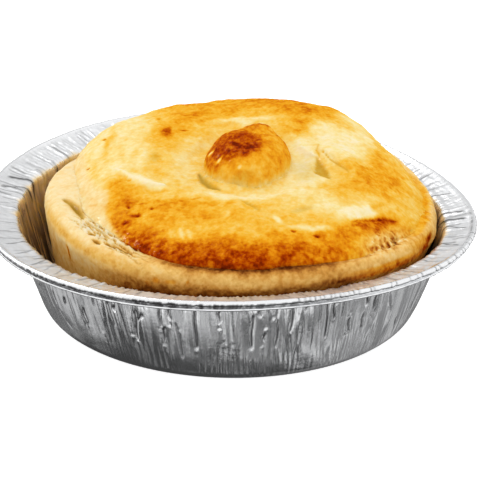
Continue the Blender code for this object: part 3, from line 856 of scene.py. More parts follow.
def wall_creases(folds, turn, height, on_wall):
    """Adds the wall's darts, slits and dimples, with shade painted in the slits."""
    draw = np.random.default_rng(37)
    for degrees in spaced_degrees(draw, DART_COUNT):
        tip, half = draw.uniform(6, 16), draw.uniform(0.6, 1.5)
        depth, lean = draw.uniform(0.15, 0.42), draw.normal(0, 0.04)
        away = angle_from(turn, degrees) * WALL_RING - lean * (height - tip)
        opened = np.clip((height - tip) / (25.0 - tip), 0, 1)
        cut = np.clip(1 - np.abs(away) / np.maximum(half * opened, 0.05), 0, 1)
        folds.add(opened * cut * (1 - smooth_step(height, 22.5, 24.5)) * on_wall, -depth)
    slits, dimples = tin_slits()
    for *ends, depth in slits:
        # Painted shade in each slit, by its depth
        folds.add(slit_share(turn, height, *ends) * on_wall, -0.6 * depth, min(2.4 * depth, 1.0))
    for degrees, centre in dimples:
        away, up = angle_from(turn, degrees) * SLIT_RING, height - centre
        size = draw.uniform(0.6, 1.1)
        shine = np.exp(-((away / (0.30 * size)) ** 2 + (up / (0.5 * size)) ** 2))
        hollow = np.exp(-((away / 0.4) ** 2 + ((up - 0.8) / 0.4) ** 2))
        folds.add(shine * on_wall, 0.10 * size)
        folds.add(hollow * on_wall, -0.08 * size)


def placed_folds(folds, turn, run, height, inside):
    """Adds the listed folds across the flange and down the inner wall."""
    out = smooth_step(run, 26.0, 33.0)
    for bead, mouth, foot, low, half, strength in FLANGE_FOLDS:
        down = np.clip((WALL_TOP - height) / (WALL_TOP - low), 0, 1) * (run < 26.5)
        end = 33.5 if bead else 27.0
        middle = mouth + ((bead or mouth) - mouth) * out + (foot - mouth) * down
        reach = smooth_step(height, low - 1.5, low + 1.5) if inside else smooth_step(run, 25.5, 26.5)
        reach = reach * (1 - smooth_step(run, end - 1.5, end))
        # Painted shade in each fold, by its strength
        folds.add(crease_share(turn, middle, FLANGE_RING, half * (0.8 + down)) * reach, -0.14, strength)


def flange_wrinkles(folds, turn, run, draw):
    """Adds the wrinkles and panels of the flange and the fine pleats at the front of the mouth, with painted
    shade.
    """
    for degrees in spaced_degrees(draw, FLANGE_WRINKLES):
        middle = degrees + draw.normal(0, 0.25) * (run - 29) / 4
        start, length = draw.uniform(23.5, 30), draw.uniform(2, 7)
        reach = stretch(run, start - 0.8, start, start + length, start + length + 1)
        share = crease_share(turn, middle, WRINKLE_RING, draw.uniform(0.2, 0.45), 1) * reach
        # Painted shade in each wrinkle
        folds.add(share, draw.uniform(-0.11, 0.05), draw.uniform(-0.3, 0.75))
    # Painted reflection: panels of the flange in lighter and darker greys
    panels = 0.5 + 0.5 * facets(turn, 13, 1.9, WRINKLE_RING)
    folds.shade(0.14 * panels * smooth_step(run, 25.5, 27))
    # Painted shade between the fine pleats at the front of the mouth
    pleats = smooth_step(facets(turn, 27, 0.8, FLANGE_RING), 0.0, 0.5) * near_angle(turn, 262, 60, 4)
    folds.shade(0.35 * pleats * stretch(run, 23.5, 25, 27, 30))


def inner_creases(folds, turn, run, height, draw):
    """Adds the streaks and slits that run down the inner wall, with shade painted in them, darker towards
    the foot.
    """
    lean = 0.003 * (height - WALL_MIDDLE)
    # Painted shade: dark streaks down the inner wall, deeper towards the foot
    streaks = smooth_step(facets(turn + lean, 21, 1.1, WALL_RING), 0.0, 0.15)
    finer = smooth_step(facets(turn - lean, 33, 0.75, WALL_RING), 0.1, 0.25)
    depth = 0.30 + 0.56 * smooth_step(22 - height, 0, 15)
    folds.shade(np.maximum(streaks, 0.9 * finer) * depth * smooth_step(26.5 - run, 0, 2))
    for degrees in spaced_degrees(draw, INNER_SLITS):
        top, foot = draw.uniform(16, 26), draw.uniform(2, 12)
        middle = degrees + draw.normal(0, 0.12) * (height - WALL_MIDDLE)
        reach = stretch(height, foot - 1, foot + 2, top - 2, top)
        share = crease_share(turn, middle, WALL_RING, draw.uniform(0.12, 0.7)) * reach
        # Painted shade in each inner slit
        folds.add(share, -draw.uniform(0.05, 0.3), draw.uniform(0.2, 1.0))


def foil_relief(turn, run, height, inside):
    """Relief of the foil over its smooth form, by angle, run up the wall and height, and the shade and
    reflection painted into its folds and panels."""
    turn = np.broadcast_to(turn, height.shape)
    loose = Bumps(11)
    x, y = np.cos(turn) * WALL_RING, np.sin(turn) * WALL_RING
    drift = 0.012 * loose.at(x / 8, y / 8, run / 11)
    flutes = 0.15 * scallops(turn + drift, 3, FLUTE_PITCH, FOOT_RING) * stretch(run, *FLUTES_RUN)
    flutes = flutes * (0.95 + 0.35 * loose.at(x / 9, y / 9, 3.1)) * (1 - 0.5 * near_angle(turn, 232, 26, 4))
    strips = (0.50 if inside else 0.20) * facets(turn + 1.4 * drift, 7, FACET_PITCH, WALL_RING)
    strips = strips + (0.15 if inside else 0.08) * facets(turn - drift, 9, 0.9, WALL_RING)
    strips = strips * smooth_step(run, 7.0, 13.0) * (1 - 0.85 * smooth_step(run, 24, 27))
    broad = 0.16 * loose.at(x / 5.5, y / 5.5, run / 12) * smooth_step(run, 1.5, 7.0)
    pleats = 0.34 * scallops(turn, 5, PLEAT_PITCH, MOUTH_RING)
    pleats = pleats + 0.36 * scallops(turn, 6, 2.2 * PLEAT_PITCH, MOUTH_RING)
    pleats = pleats * smooth_step(run, 21.5, 25.5) * (1 - 0.62 * smooth_step(run, 26.5, 29.0))
    teeth = 0.60 * scallops(turn, 8, 1.2, MOUTH_RING) * near_angle(turn, 262, 56, 4)
    teeth = teeth * stretch(run, *TEETH_RUN)
    flange = 0.08 * loose.at(x / 4, y / 4, run / 4 + 9)
    flange = flange + 0.09 * loose.rough(x / 1.7, y / 1.7, run / 1.3 + 5, 2)
    flange = flange * smooth_step(run, 25, 28)
    folds = Folds(height.shape)
    draw = np.random.default_rng(17)
    wall_creases(folds, turn, height, 1 - smooth_step(run, 24.5, 26.0))
    placed_folds(folds, turn, run, height, inside)
    flange_wrinkles(folds, turn, run, draw)
    if inside:
        inner_creases(folds, turn, run, height, draw)
    return flutes + strips + broad + pleats + teeth + flange + folds.relief, folds.dark


def roll_relief(turn, swings):
    """Crimps and soft dents along the rolled edge, by angle round the tin and, in degrees, round the
    roll, with shade painted in its crimps and a reflection of the dark table painted under it."""
    draw = np.random.default_rng(23)
    loose = Bumps(29)
    share = np.linspace(0, 1, len(swings))[:, None]
    x, y = np.cos(turn) * BEAD_RING, np.sin(turn) * BEAD_RING
    folds = Folds((len(swings), len(turn)))
    folds.relief += 0.09 * loose.at(x / 3, y / 3, share * 1.5)
    folds.relief += 0.06 * loose.at(x / 1.1, y / 1.1, share * 2 + 4)
    broken = 0.8 * loose.rough(x / 1.5, y / 1.5, 7.0) + 0.5 * loose.at(x / 0.6, y / 0.6, 3.0)
    # Painted reflection: the roll's underside darkened as if it mirrored the dark table
    turned_under = 1 - smooth_step(swings[:, None], 6 + 16 * broken, 22 + 16 * broken)
    shaded = near_angle(turn, *ROLL_SHADE, 6)
    folds.shade(turned_under * shaded * (0.45 + 0.50 * smooth_step(broken, -0.6, 0.4)))
    soft = spaced_degrees(draw, ROLL_CRIMPS)
    crimps = [*soft, *np.arange(286.0, 300.0, 1.15), *spaced_degrees(draw, 16, 300, 44)]
    for order, degrees in enumerate(crimps):
        away = angle_from(turn, degrees) * BEAD_RING - draw.normal(0, 0.5) * (share - 0.5)
        cut = np.exp(-np.abs(away) / draw.uniform(0.18, 0.34))
        folds.add(cut, -draw.uniform(0.06, 0.24))
        if order >= ROLL_CRIMPS:
            # Painted shade in the fine crimps
            folds.shade(0.75 * cut ** 2 * smooth_step(share, 0.35, 0.6))
    return folds.relief * np.sin(math.pi * share) ** 0.5, folds.dark


def foil_skin(turn, rows, run, inside):
    """A skin of the foil from its smooth rows, with its relief, and the shade painted into its folds."""
    skin = np.stack(rows)
    relief, dark = foil_relief(turn, run, skin[..., 2], inside)
    out = -1 if inside else 1
    return skin + out * grid_normals(skin) * relief[..., None], dark


def rolled_edge(turn):
    """The lip under the bead and the bead itself, with their painted shade and painted reflection."""
    lip = tin_arc(turn, *TIN_LIP_PLACE, TIN_LIP_RADIUS, -190, 70, 9)
    recess = [
        polar((0, 0), tin_rim_radius(turn) - inset, turn, tin_rim_height(turn) - down)
        for inset, down in TIN_RECESS
    ]
    bead = tin_arc(turn, TIN_ROLL_RADIUS, 0.1, TIN_ROLL_RADIUS, -70, 130, 16)
    roll = np.stack(lip + recess + bead)
    swings = np.concatenate([[90.0] * len(lip), [-90.0] * len(recess), np.linspace(-70, 130, len(bead))])
    relief, dark = roll_relief(turn, swings)
    return roll + grid_normals(roll) * relief[..., None], dark


def make_tin(look):
    """The tin as two closed shells: base with wall, and flange with rolled edge."""
    turn = turns(TIN_COLUMNS)
    under, outside = tin_outside(turn)
    inside, over = tin_inside(turn)
    bead_root = tin_rim_radius(turn) - 2 * TIN_BEAD_RADIUS
    top = tin_rim_height(turn)
    flange_under = polar((0, 0), bead_root - 0.9, turn, top - 1.0)
    flange_over = polar((0, 0), bead_root - 0.2, turn, top - 0.1)
    outer_rows = outside + straight(outside[-1], flange_under, 11) + [flange_under]
    flange_rows = [flange_over] + straight(flange_over, inside[0], 12)
    inner_rows = flange_rows + inside
    outer, outer_painted_shade = foil_skin(turn, outer_rows, run_along(outer_rows), False)
    inner, inner_painted_shade = foil_skin(turn, inner_rows, run_along(inner_rows[::-1])[::-1] + 0.6, True)
    roll, roll_painted_shade = rolled_edge(turn)
    split_out = len(outside) - 9
    split_in = len(flange_rows) + 9

    step = polar((0, 0), TIN_SHELL_STEP, turn, 0.0)
    under, over = np.stack(under), np.stack(over)
    wall = np.concatenate([
        under, outer[:split_out + 1], outer[split_out + 1:split_out + 3] - step,
        inner[split_in - 3:split_in - 1] + step, inner[split_in - 1:], over,
    ])
    dark = np.concatenate([
        np.zeros(under.shape[:2]), outer_painted_shade[:split_out + 3], inner_painted_shade[split_in - 3:],
        np.zeros(over.shape[:2]),
    ])
    poles = ((*TIN_BASE_OFFSET, 0.0), (*TIN_BASE_OFFSET, TIN_FOIL))
    # Golden inner wall: grease, and a painted reflection of the pastry
    grease_and_painted_reflection = tin_grease_and_painted_reflection(wall, len(under) + split_out + 3)
    # The fold layer here is shade painted into the wall's folds, slits and inner streaks
    layers = {"grease_and_painted_reflection": grease_and_painted_reflection, "fold": dark, "satin": np.zeros(grease_and_painted_reflection.shape)}
    wall_piece = grid_piece("foil_tin_wall", wall, poles, layers, look)

    rim = np.concatenate([
        outer[split_out - 1:split_out] - step, outer[split_out:], roll,
        inner[:split_in], inner[split_in:split_in + 1] + step,
    ])
    dark = np.concatenate([outer_painted_shade[split_out - 1:], roll_painted_shade, inner_painted_shade[:split_in + 1]])
    first_inner = len(outer) - split_out + 1 + len(roll)
    satin = np.zeros(dark.shape)
    satin[first_inner:first_inner + SATIN_ROWS] = 1.0
    # The fold layer here is shade painted into the folds and crimps, and a painted reflection of the dark
    # table under the roll
    layers = {"grease_and_painted_reflection": tin_grease_and_painted_reflection(rim, first_inner), "fold": dark, "satin": satin}
    rim_piece = grid_piece("foil_tin_rim", rim, None, layers, look)
    return wall_piece, rim_piece


def tin_grease_and_painted_reflection(points, first_inner):
    """Golden grease and painted reflection of the pastry on the foil: the inner wall only, less towards the
    mouth.
    """
    grease_and_painted_reflection = np.zeros(points.shape[:2])
    inner = points[first_inner:]
    turn = np.arctan2(inner[..., 1], inner[..., 0])
    drop = tin_rim_height(turn) - TIN_FLANGE_RISE - inner[..., 2]
    grease_and_painted_reflection[first_inner:] = smooth_step(drop + 0.6 * facets(turn, 19, 1.7, MOUTH_RING), 0.3, 1.5)
    return grease_and_painted_reflection


# Pastry case


def case_radius(turn):
    crease = 0.35 * near_angle(turn, CASE_CREASE_DEGREES, 3.0)
    return CASE_RADIUS + wave(turn, CASE_RADIUS_WAVE) - crease


def case_rim_height(turn):
    return CASE_RIM_HEIGHT + wave(turn, CASE_RIM_WAVE)


def lid_radius(turn):
    wide = near_angle(turn, LID_MARGIN_WIDE_DEGREES, LID_MARGIN_WIDE_SPREAD, 3)
    return case_radius(turn) - (LID_MARGIN + LID_MARGIN_WIDE * wide) + wave(turn, LID_EDGE_WAVE)


def case_wall(turn, share):
    """A row of the outer wall, a share of the way from the foot up to the roll."""
    foot = polar(CASE_FOOT_CENTRE, CASE_FOOT_RADIUS, turn, CASE_FOOT_HEIGHT)
    top = polar(PIE_CENTRE, case_radius(turn), turn, case_rim_height(turn) - CASE_ROLL_HEIGHT)
    return foot + (top - foot) * share


def case_roll(turn):
    """Rows of the rounded rim, from the wall's top to its crest."""
    crest = np.maximum(case_radius(turn) - CASE_ROLL_WIDTH, lid_radius(turn) + 0.9)
    rows = []
    for degrees in np.linspace(0, 90, 20):
        out = (case_radius(turn) - crest) * math.cos(math.radians(degrees))
        up = CASE_ROLL_HEIGHT * (math.sin(math.radians(degrees)) - 1)
        rows.append(polar(PIE_CENTRE, crest + out, turn, case_rim_height(turn) + up))
    return rows


def case_rows(turn):
    """Rows of the underside, up the wall and over the roll to the lid's edge, and under the lid."""
    bottom = TIN_FOIL + CONTACT_GAP
    rings = (15.0, 30.0, CASE_FOOT_RADIUS - CASE_FOOT_INSET)
    under = [polar(CASE_FOOT_CENTRE, radius, turn, bottom) for radius in rings]
    foot = bend(
        polar(CASE_FOOT_CENTRE, CASE_FOOT_RADIUS - 1.6, turn, bottom + 0.2),
        polar(CASE_FOOT_CENTRE, CASE_FOOT_RADIUS - 0.3, turn, bottom + 0.5),
        case_wall(turn, 0.0),
        4,
    )
    wall = straight(case_wall(turn, 0.0), case_wall(turn, 1.0), 30)
    roll = case_roll(turn)
    sealed = np.clip(near_angle(turn, 174, 26, 4) + near_angle(turn, 2, 56, 4), 0, 1)
    drop = 0.15 + 0.2 * near_angle(turn, LID_MARGIN_WIDE_DEGREES, 25) - 0.65 * sealed
    groove = polar(PIE_CENTRE, lid_radius(turn) - 0.5 - 0.6 * sealed, turn, case_rim_height(turn) - drop)
    ledge = straight(roll[-1], groove, 15) + [groove]
    hidden = [lid_under(turn, share) - (0, 0, CONTACT_GAP) for share in (1.0, 0.85, 0.6, 0.3)]
    return under, foot + wall + roll + ledge, hidden


class CasePlaces:
    """Points of the case, with what is known of the crust at each of them."""

    def __init__(self, rows, turn):
        self.skin = Bumps(53)
        self.x, self.y, self.z = rows[..., 0] - PIE_CENTRE[0], rows[..., 1] - PIE_CENTRE[1], rows[..., 2]
        self.turn = np.arctan2(self.y, self.x)
        self.drop = case_rim_height(turn) - self.z
        self.beside = np.hypot(self.x, self.y) - lid_radius(turn)
        self.on_ledge = 1 - smooth_step(self.drop, 2.0, 3.0)
        self.flaky = self.near(223, 17) * stretch(self.beside, -0.6, 0.2, 3.6, 5.6)
        self.leaf = (self.beside / 1.35 + 0.7 * self.rough(3.4, 3.0, 2)) % 1.0
        self.crumble = stroke_share(self.x, self.y, *CRUMBLE)
        self.gaps = [line_share(self.x, self.y, *gap[:2]) * self.on_ledge for gap in LEDGE_GAPS]

    def rough(self, pitch, level, octaves=3):
        """Noise across the case, alike at all heights."""
        return self.skin.rough(self.x / pitch, self.y / pitch, level, octaves)

    def puffs(self, pitch):
        """Noise through the crust, which changes with height too."""
        return self.rough(pitch, self.z / pitch)

    def near(self, degrees, spread):
        """1 on the side of the case at that angle, falling quickly to 0 past the spread."""
        return near_angle(self.turn, degrees, spread, 4)

    def belt(self, degrees, spread, depth, half):
        """A belt round part of the case, at that depth below its rim."""
        return self.near(degrees, spread) * np.exp(-(((self.drop - depth) / half) ** 2))


def case_relief(places):
    """Finer relief of the case: puffs, torn layers, the crumbled strip, gaps and the crease."""
    relief = 0.22 * places.puffs(8) + 0.05 * places.puffs(1.2)
    torn = 0.9 * places.leaf - 0.35 + 0.14 * places.rough(1.1, places.z)
    relief = relief + places.flaky * torn
    relief = relief + places.crumble * (CRUMBLE_HEIGHT * places.rough(CRUMBLE_PITCH, 3.0) - 0.1)
    for share, (_, _, height, _, _) in zip(places.gaps, LEDGE_GAPS):
        relief = relief + height * share
    crease = near_angle(places.turn, CASE_CREASE_DEGREES, 0.45, 1) * (1 - smooth_step(places.z, 25, 28))
    return relief - 0.4 * crease


def case_layers(places):
    """Browning of the case, with shade painted under the lid's front edge and olive shade painted in its
    gaps, and where the egg wash ran on to it.
    """
    drop, beside, leaf = places.drop, places.beside, places.leaf
    browning = 0.20 + 0.05 * places.puffs(5) + 0.04 * places.puffs(1.6)
    deeper = 0.20 * smooth_step(drop, 2.0, 4.5) + 0.24 * smooth_step(drop, 4.0, 9.0)
    browning += deeper * (1 - 0.5 * places.near(205, 30))
    browning += 0.14 * places.near(258, 26) * smooth_step(drop, 3.0, 7.0)
    for degrees, spread, more in CASE_SIDES:
        browning += more * places.near(degrees, spread)
    golden_belt = places.belt(*CASE_GOLDEN_BELT)
    browning = toward(browning, 0.44, golden_belt)
    for *belt, more in CASE_BELTS:
        browning += more * places.belt(*belt)
    # Painted shade: browner next to the lid's front edge, under its overhang
    browning += 0.45 * smooth_step(3.0 - beside, 0.0, 2.4) * places.near(272, 27)
    # Painted shade: each flaky layer darker at its inner side, where the gap below it lies
    browning += places.flaky * (0.50 * smooth_step(0.3 - leaf, 0.0, 0.2) - 0.16)
    browning = toward(browning, crumble_browning(places.skin, places.x, places.y), places.crumble)
    golden = smooth_step(2.6 - beside + 0.8 * places.rough(3, 5.0), 0.6, 2.0) * places.on_ledge
    golden = golden * places.near(352, 30) * (1 - places.crumble)
    browning = toward(browning, 0.50 + 0.10 * places.rough(2.5, 9.0), golden)
    washed = np.maximum(golden, 0.4 * golden_belt)
    # Painted olive shade in the gaps between the flaky layers, and in the ledge's gaps below
    sallow = 0.35 * places.flaky * smooth_step(0.25 - leaf, 0.0, 0.2)
    for share, (_, _, _, value, olive) in zip(places.gaps, LEDGE_GAPS):
        browning = toward(browning, value, share)
        sallow = np.maximum(sallow, olive * share)
    for degrees, spread, depth, half, value, strength in CASE_SPOTS:
        share = near_angle(places.turn, degrees, spread, 3) * strength
        share = share * np.exp(-np.abs((drop - depth) / half) ** 3)
        browning = toward(browning, value, share)
        washed = np.maximum(washed, share)
    return {"browning": np.clip(browning, 0, 1), "sallow": np.clip(sallow, 0, 1), "washed": washed}


def make_case(look):
    turn = turns(CASE_COLUMNS)
    under, shown, hidden = case_rows(turn)
    rows = np.stack(under + shown + hidden)
    places = CasePlaces(rows, turn)
    moved = np.array([0.0] * len(under) + [1.0] * len(shown) + [0.0] * len(hidden))[:, None]
    rows = rows + grid_normals(rows) * (case_relief(places) * moved)[..., None]
    poles = (
        np.array([*CASE_FOOT_CENTRE, TIN_FOIL + CONTACT_GAP]),
        lid_under(0.0, 0.0) - (0, 0, CONTACT_GAP),
    )
    return grid_piece("pastry_case", rows, poles, case_layers(places), look)


# Pastry lid


def lid_edge_height(turn, share):
    """Height of the lid's edge, carried smoothly in to the middle."""
    return CASE_RIM_HEIGHT - LID_EDGE_DROP + share * share * wave(turn, CASE_RIM_WAVE)


def lid_smooth_rise(turn, share):
    """How far the lid's top stands above its edge, without its finer relief."""
    rise = LID_RISE + share * wave(turn, [(1, *LID_BACK_RISE)]) + share ** 2 * wave(turn, [(2, *LID_SADDLE)])
    shoulder = LID_SHOULDER - 0.15 * np.sin(turn) + 0.35 * np.cos(2 * turn)
    x = share * lid_radius(turn) * np.cos(turn) - LID_HOLLOW_PLACE[0]
    y = share * lid_radius(turn) * np.sin(turn) - LID_HOLLOW_PLACE[1]
    hollow = LID_HOLLOW_DEPTH * np.exp(-(x * x + y * y) / LID_HOLLOW_RADIUS ** 2)
    full = np.clip(1 - share ** LID_FULLNESS, 0, 1)
    return rise * full ** np.maximum(shoulder, 0.3) - hollow


def source_noise(x, y, z, pitch):
    """The same noise that shapes the model's solids."""
    x, y = np.broadcast_arrays(x, y)
    places = zip((x / pitch).ravel().tolist(), (y / pitch).ravel().tolist())
    return np.array([noise.noise((u, v, z)) for u, v in places]).reshape(x.shape)


def fold_place(x, y):
    """Distance along and across the lid's fold."""
    run = np.subtract(LID_FOLD_END, LID_FOLD_START)
    length = math.hypot(*run)
    dx, dy = x - LID_FOLD_START[0], y - LID_FOLD_START[1]
    return (dx * run[0] + dy * run[1]) / length, (dy * run[0] - dx * run[1]) / length, length


def lid_relief(x, y, share):
    """The lid's moat round the button, its fold and its uneven crust."""
    away = np.hypot(x - BUTTON_CENTRE[0], y - BUTTON_CENTRE[1])
    moat = BUTTON_MOAT_DEPTH * np.exp(-(((away - BUTTON_MOAT_RADIUS) / BUTTON_MOAT_WIDTH) ** 2))
    along, across, length = fold_place(x, y)
    within = np.exp(-(((along - length / 2) / (0.62 * length)) ** 4))
    step = across / LID_FOLD_WIDTH
    fold = LID_FOLD_HEIGHT * step * np.exp(0.5 - step * step / 2) * within
    clear = np.clip((away - 11.0) / 5.0, 0, 1)
    bumps = source_noise(x, y, 4.2, LID_UNEVEN_PITCH)
    return (fold + LID_UNEVENNESS * bumps * 2 * clear) * (1 - share ** 6) - moat


def lid_place(turn, share, rise):
    """Points at a share of the lid's radius, that far above the height of its edge."""
    return polar(PIE_CENTRE, share * lid_radius(turn), turn, lid_edge_height(turn, share) + rise)


def lid_top(turn, share):
    radius = share * lid_radius(turn)
    x, y = radius * np.cos(turn), radius * np.sin(turn)
    rise = np.maximum(lid_smooth_rise(turn, share), 0.0) + lid_relief(x, y, share)
    return lid_place(turn, share, np.maximum(rise, LID_EDGE_THICKNESS))


def lid_under(turn, share):
    rise = (1 - LID_THICKNESS_SHARE) * np.maximum(lid_smooth_rise(turn, share), 0.0)
    return lid_place(turn, share, rise)


def lid_height_at(x, y):
    """Height of the lid's top at places on it."""
    turn = np.arctan2(y, x)
    return lid_top(turn, np.hypot(x, y) / lid_radius(turn))[..., 2]


def lid_shares(count):
    """Shares of the radius that lie evenly along the lid's domed top."""
    probe = np.linspace(0, 1, 1201)
    length = 0.0
    for degrees in LID_PROBE_DEGREES:
        length = length + run_along(lid_top(math.radians(degrees), probe)[:, None])[:, 0]
    return np.interp(np.linspace(0, length[-1], count + 1)[1:], length, probe)


def stroke_share(x, y, stroke_x, stroke_y, half_length, half_width, degrees):
    """1 in the middle of a brush stroke on the pastry, falling to 0 outside it."""
    swing = math.radians(degrees)
    dx, dy = x - stroke_x, y - stroke_y
    along = (dx * math.cos(swing) + dy * math.sin(swing)) / half_length
    across = (dy * math.cos(swing) - dx * math.sin(swing)) / half_width
    return np.exp(-((along ** 2 + across ** 2) ** 1.6))


def part_places(x, y, start, end):
    """How far along a straight part the nearest point to each place is, 0 to 1, and how far away."""
    run_x, run_y = end[0] - start[0], end[1] - start[1]
    along = np.clip(((x - start[0]) * run_x + (y - start[1]) * run_y) / (run_x ** 2 + run_y ** 2), 0, 1)
    return along, np.hypot(x - start[0] - along * run_x, y - start[1] - along * run_y)


def line_share(x, y, points, half_width):
    """1 on a line through points, falling to 0 at its sides, and thinner towards its ends."""
    highest = np.zeros(x.shape)
    count = len(points) - 1
    for step, (start, end) in enumerate(zip(points, points[1:])):
        along, away = part_places(x, y, start, end)
        width = half_width * (0.35 + 0.65 * np.sin(math.pi * (step + along) / count))
        highest = np.maximum(highest, np.exp(-((away / width) ** 2)))
    return highest


def inside_share(x, y, corners, soft):
    """1 inside an outline and 0 outside it, with an edge that is that soft."""
    nearest = np.full(x.shape, 100.0)
    inside = np.zeros(x.shape, dtype=bool)
    for (x0, y0), (x1, y1) in zip(corners, corners[1:] + corners[:1]):
        nearest = np.minimum(nearest, part_places(x, y, (x0, y0), (x1, y1))[1])
        if y1 != y0:
            inside ^= ((y0 > y) != (y1 > y)) & (x < x0 + (x1 - x0) * (y - y0) / (y1 - y0))
    return smooth_step(np.where(inside, nearest, -nearest), -soft, soft)


def toward(browning, value, share):
    """Browning, drawn a share of the way towards a value."""
    return browning + (value - browning) * share


def crumble_browning(skin, x, y):
    """Browning of the crumbled strip, which lies half on the lid and half on the case."""
    return CRUMBLE_BROWNING + CRUMBLE_CONTRAST * skin.rough(x / CRUMBLE_PITCH, y / CRUMBLE_PITCH, 18.0)


def brushed(x, y, strokes, base, wander):
    """Browning from strokes laid one on another, with outlines that wander by noise."""
    drift = Bumps(41)
    moved_x = x + wander * drift.rough(x / 6.5, y / 6.5, 1.0)
    moved_y = y + wander * drift.rough(x / 6.5, y / 6.5, 21.0)
    browning = np.full(x.shape, base)
    for *place, value, strength in strokes:
        browning = toward(browning, value, stroke_share(moved_x, moved_y, *place) * strength)
    return browning


def lid_browning(x, y, turn, edge):
    """Browning of the lid, at places with that distance from its edge."""
    drift = Bumps(43)
    browning = brushed(x, y, LID_STROKES, 0.30, 0.9)
    ragged = edge + 1.1 * drift.rough(x / 3.2, y / 3.2, 2.0)
    for degrees, spread, depth, value, strength in LID_BAND:
        share = near_angle(turn, degrees, spread, 3) * (1 - smooth_step(ragged, 0.45 * depth, 1.5 * depth))
        browning = toward(browning, value, share * strength)
    moved_x = x + 0.5 * drift.rough(x / 1.6, y / 1.6, 11.0)
    moved_y = y + 0.5 * drift.rough(x / 1.6, y / 1.6, 15.0)
    for corners, soft, value, strength, _, _ in LID_SHAPES:
        browning = toward(browning, value, inside_share(moved_x, moved_y, corners, soft) * strength)
    browning += 0.07 * drift.rough(x / 4.5, y / 4.5, 5.0) + 0.05 * drift.rough(x / 1.4, y / 1.4, 8.0)
    browning = toward(browning, crumble_browning(drift, x, y), stroke_share(x, y, *CRUMBLE))
    for points, half_width, _, value, strength, _ in LID_LINES:
        browning = toward(browning, value, line_share(x, y, points, half_width) * strength)
    for *place, darkness in LID_SPECKS:
        browning = toward(browning, darkness, stroke_share(x, y, *place))
    return np.clip(browning, 0, 1)


def lid_crust(x, y, share):
    """Finer relief of the baked crust: puffs, ridges, blisters, the crumbled strip, crack and pits."""
    skin = Bumps(47)
    relief = 0.22 * skin.rough(x / 7.0, y / 7.0, 0.0) + 0.09 * skin.rough(x / 2.8, y / 2.2, 6.0)
    relief = relief + 0.05 * skin.rough(x / 1.3, y / 1.3, 3.0)
    for *place, height in LID_RIDGES:
        relief = relief + height * stroke_share(x, y, *place)
    for points, half_width, height, _, _, _ in LID_LINES:
        relief = relief + height * line_share(x, y, points, half_width)
    for corners, soft, _, _, height, _ in LID_SHAPES:
        relief = relief + height * inside_share(x, y, corners, 1.6 * soft)
    for *place, _ in LID_SPECKS:
        relief = relief - 0.25 * stroke_share(x, y, *place)
    front = smooth_step(-y, 18, 34)
    blisters = 0.20 * cell_spots(x, y, 5, 2.6, 0.5, 1.5, 0.6) * np.maximum(front, 0.25)
    grain = 0.25 + front * smooth_step(share, 0.70, 0.86)
    grain = 0.09 * skin.rough(x / 0.75, y / 0.75, share * 20) * grain
    crumbs = CRUMBLE_HEIGHT * skin.rough(x / CRUMBLE_PITCH, y / CRUMBLE_PITCH, share * 14 + 3) - 0.25
    crumbs = crumbs * stroke_share(x, y, *CRUMBLE)
    along, across, _ = fold_place(x, y)
    line = np.abs(across + 0.35 * np.sin(along * 0.9))
    crack = 0.35 * np.exp(-line / 0.3) * np.exp(-(((along - 6) / 6.5) ** 4))
    edge = 1 - smooth_step(share, 0.985, 1.0) * 0.7
    return (relief + blisters + grain + crumbs - crack) * edge


def sheet_layers(under_rows, **layers):
    """Layers for rows that run from under a sheet's middle to its edge, and back over its top."""
    hidden = np.ones((under_rows, 1))
    return {name: np.concatenate([hidden * values[-1], values[::-1]]) for name, values in layers.items()}


def make_lid(look):
    turn = turns(LID_COLUMNS)
    shares = np.append(lid_shares(LID_ROWS)[:-1], [LID_LAST_ROW, 1.0])[:, None]
    top = lid_top(turn, shares)
    x, y = top[..., 0] - PIE_CENTRE[0], top[..., 1] - PIE_CENTRE[1]
    top = top - grid_normals(top) * lid_crust(x, y, shares)[..., None]
    height = top[..., 2] - lid_edge_height(turn, 1.0)
    edge = (1 - shares) * lid_radius(turn) + 0.55 * np.clip(height, 0, 9)
    browning = lid_browning(x, y, np.broadcast_to(turn, x.shape), edge)
    # Painted olive shade in the lid's hollows, its lines and the fold's step
    olive = [strength * stroke_share(x, y, *place) for *place, strength in LID_OLIVE_SHADES]
    olive += [strength * line_share(x, y, *line) for *line, _, _, _, strength in LID_LINES]
    olive += [strength * inside_share(x, y, *shape) for *shape, _, _, _, strength in LID_SHAPES]
    bare = 0.8 * inside_share(x, y, LID_BARE_CORNERS, 1.0)
    bare = np.maximum(bare, 0.7 * stroke_share(x, y, *CRUMBLE))
    under = [lid_under(turn, share) for share in (0.4, 0.8, 1.0)]
    layers = sheet_layers(len(under), browning=browning, sallow=np.maximum.reduce(olive), washed=1 - bare)
    rows = np.concatenate([np.stack(under), top[::-1]])
    poles = (lid_under(0.0, 0.0), top[0].mean(axis=0))
    return grid_piece("pastry_lid", rows, poles, layers, look)


# Pastry button


def button_place(turn, shares):
    """Places on the lid at shares of the button's radius."""
    reach = wave(turn, BUTTON_RADIUS_WAVE)
    x = BUTTON_CENTRE[0] + shares * (BUTTON_RADII[0] + reach) * np.cos(turn)
    y = BUTTON_CENTRE[1] + shares * (BUTTON_RADII[1] + reach) * np.sin(turn)
    return x, y


def button_under(turn, shares):
    """Rows of the button's underside, which follows the lid."""
    x, y = button_place(turn, shares)
    return np.stack([PIE_CENTRE[0] + x, PIE_CENTRE[1] + y, lid_height_at(x, y) - BUTTON_SINK], axis=-1)


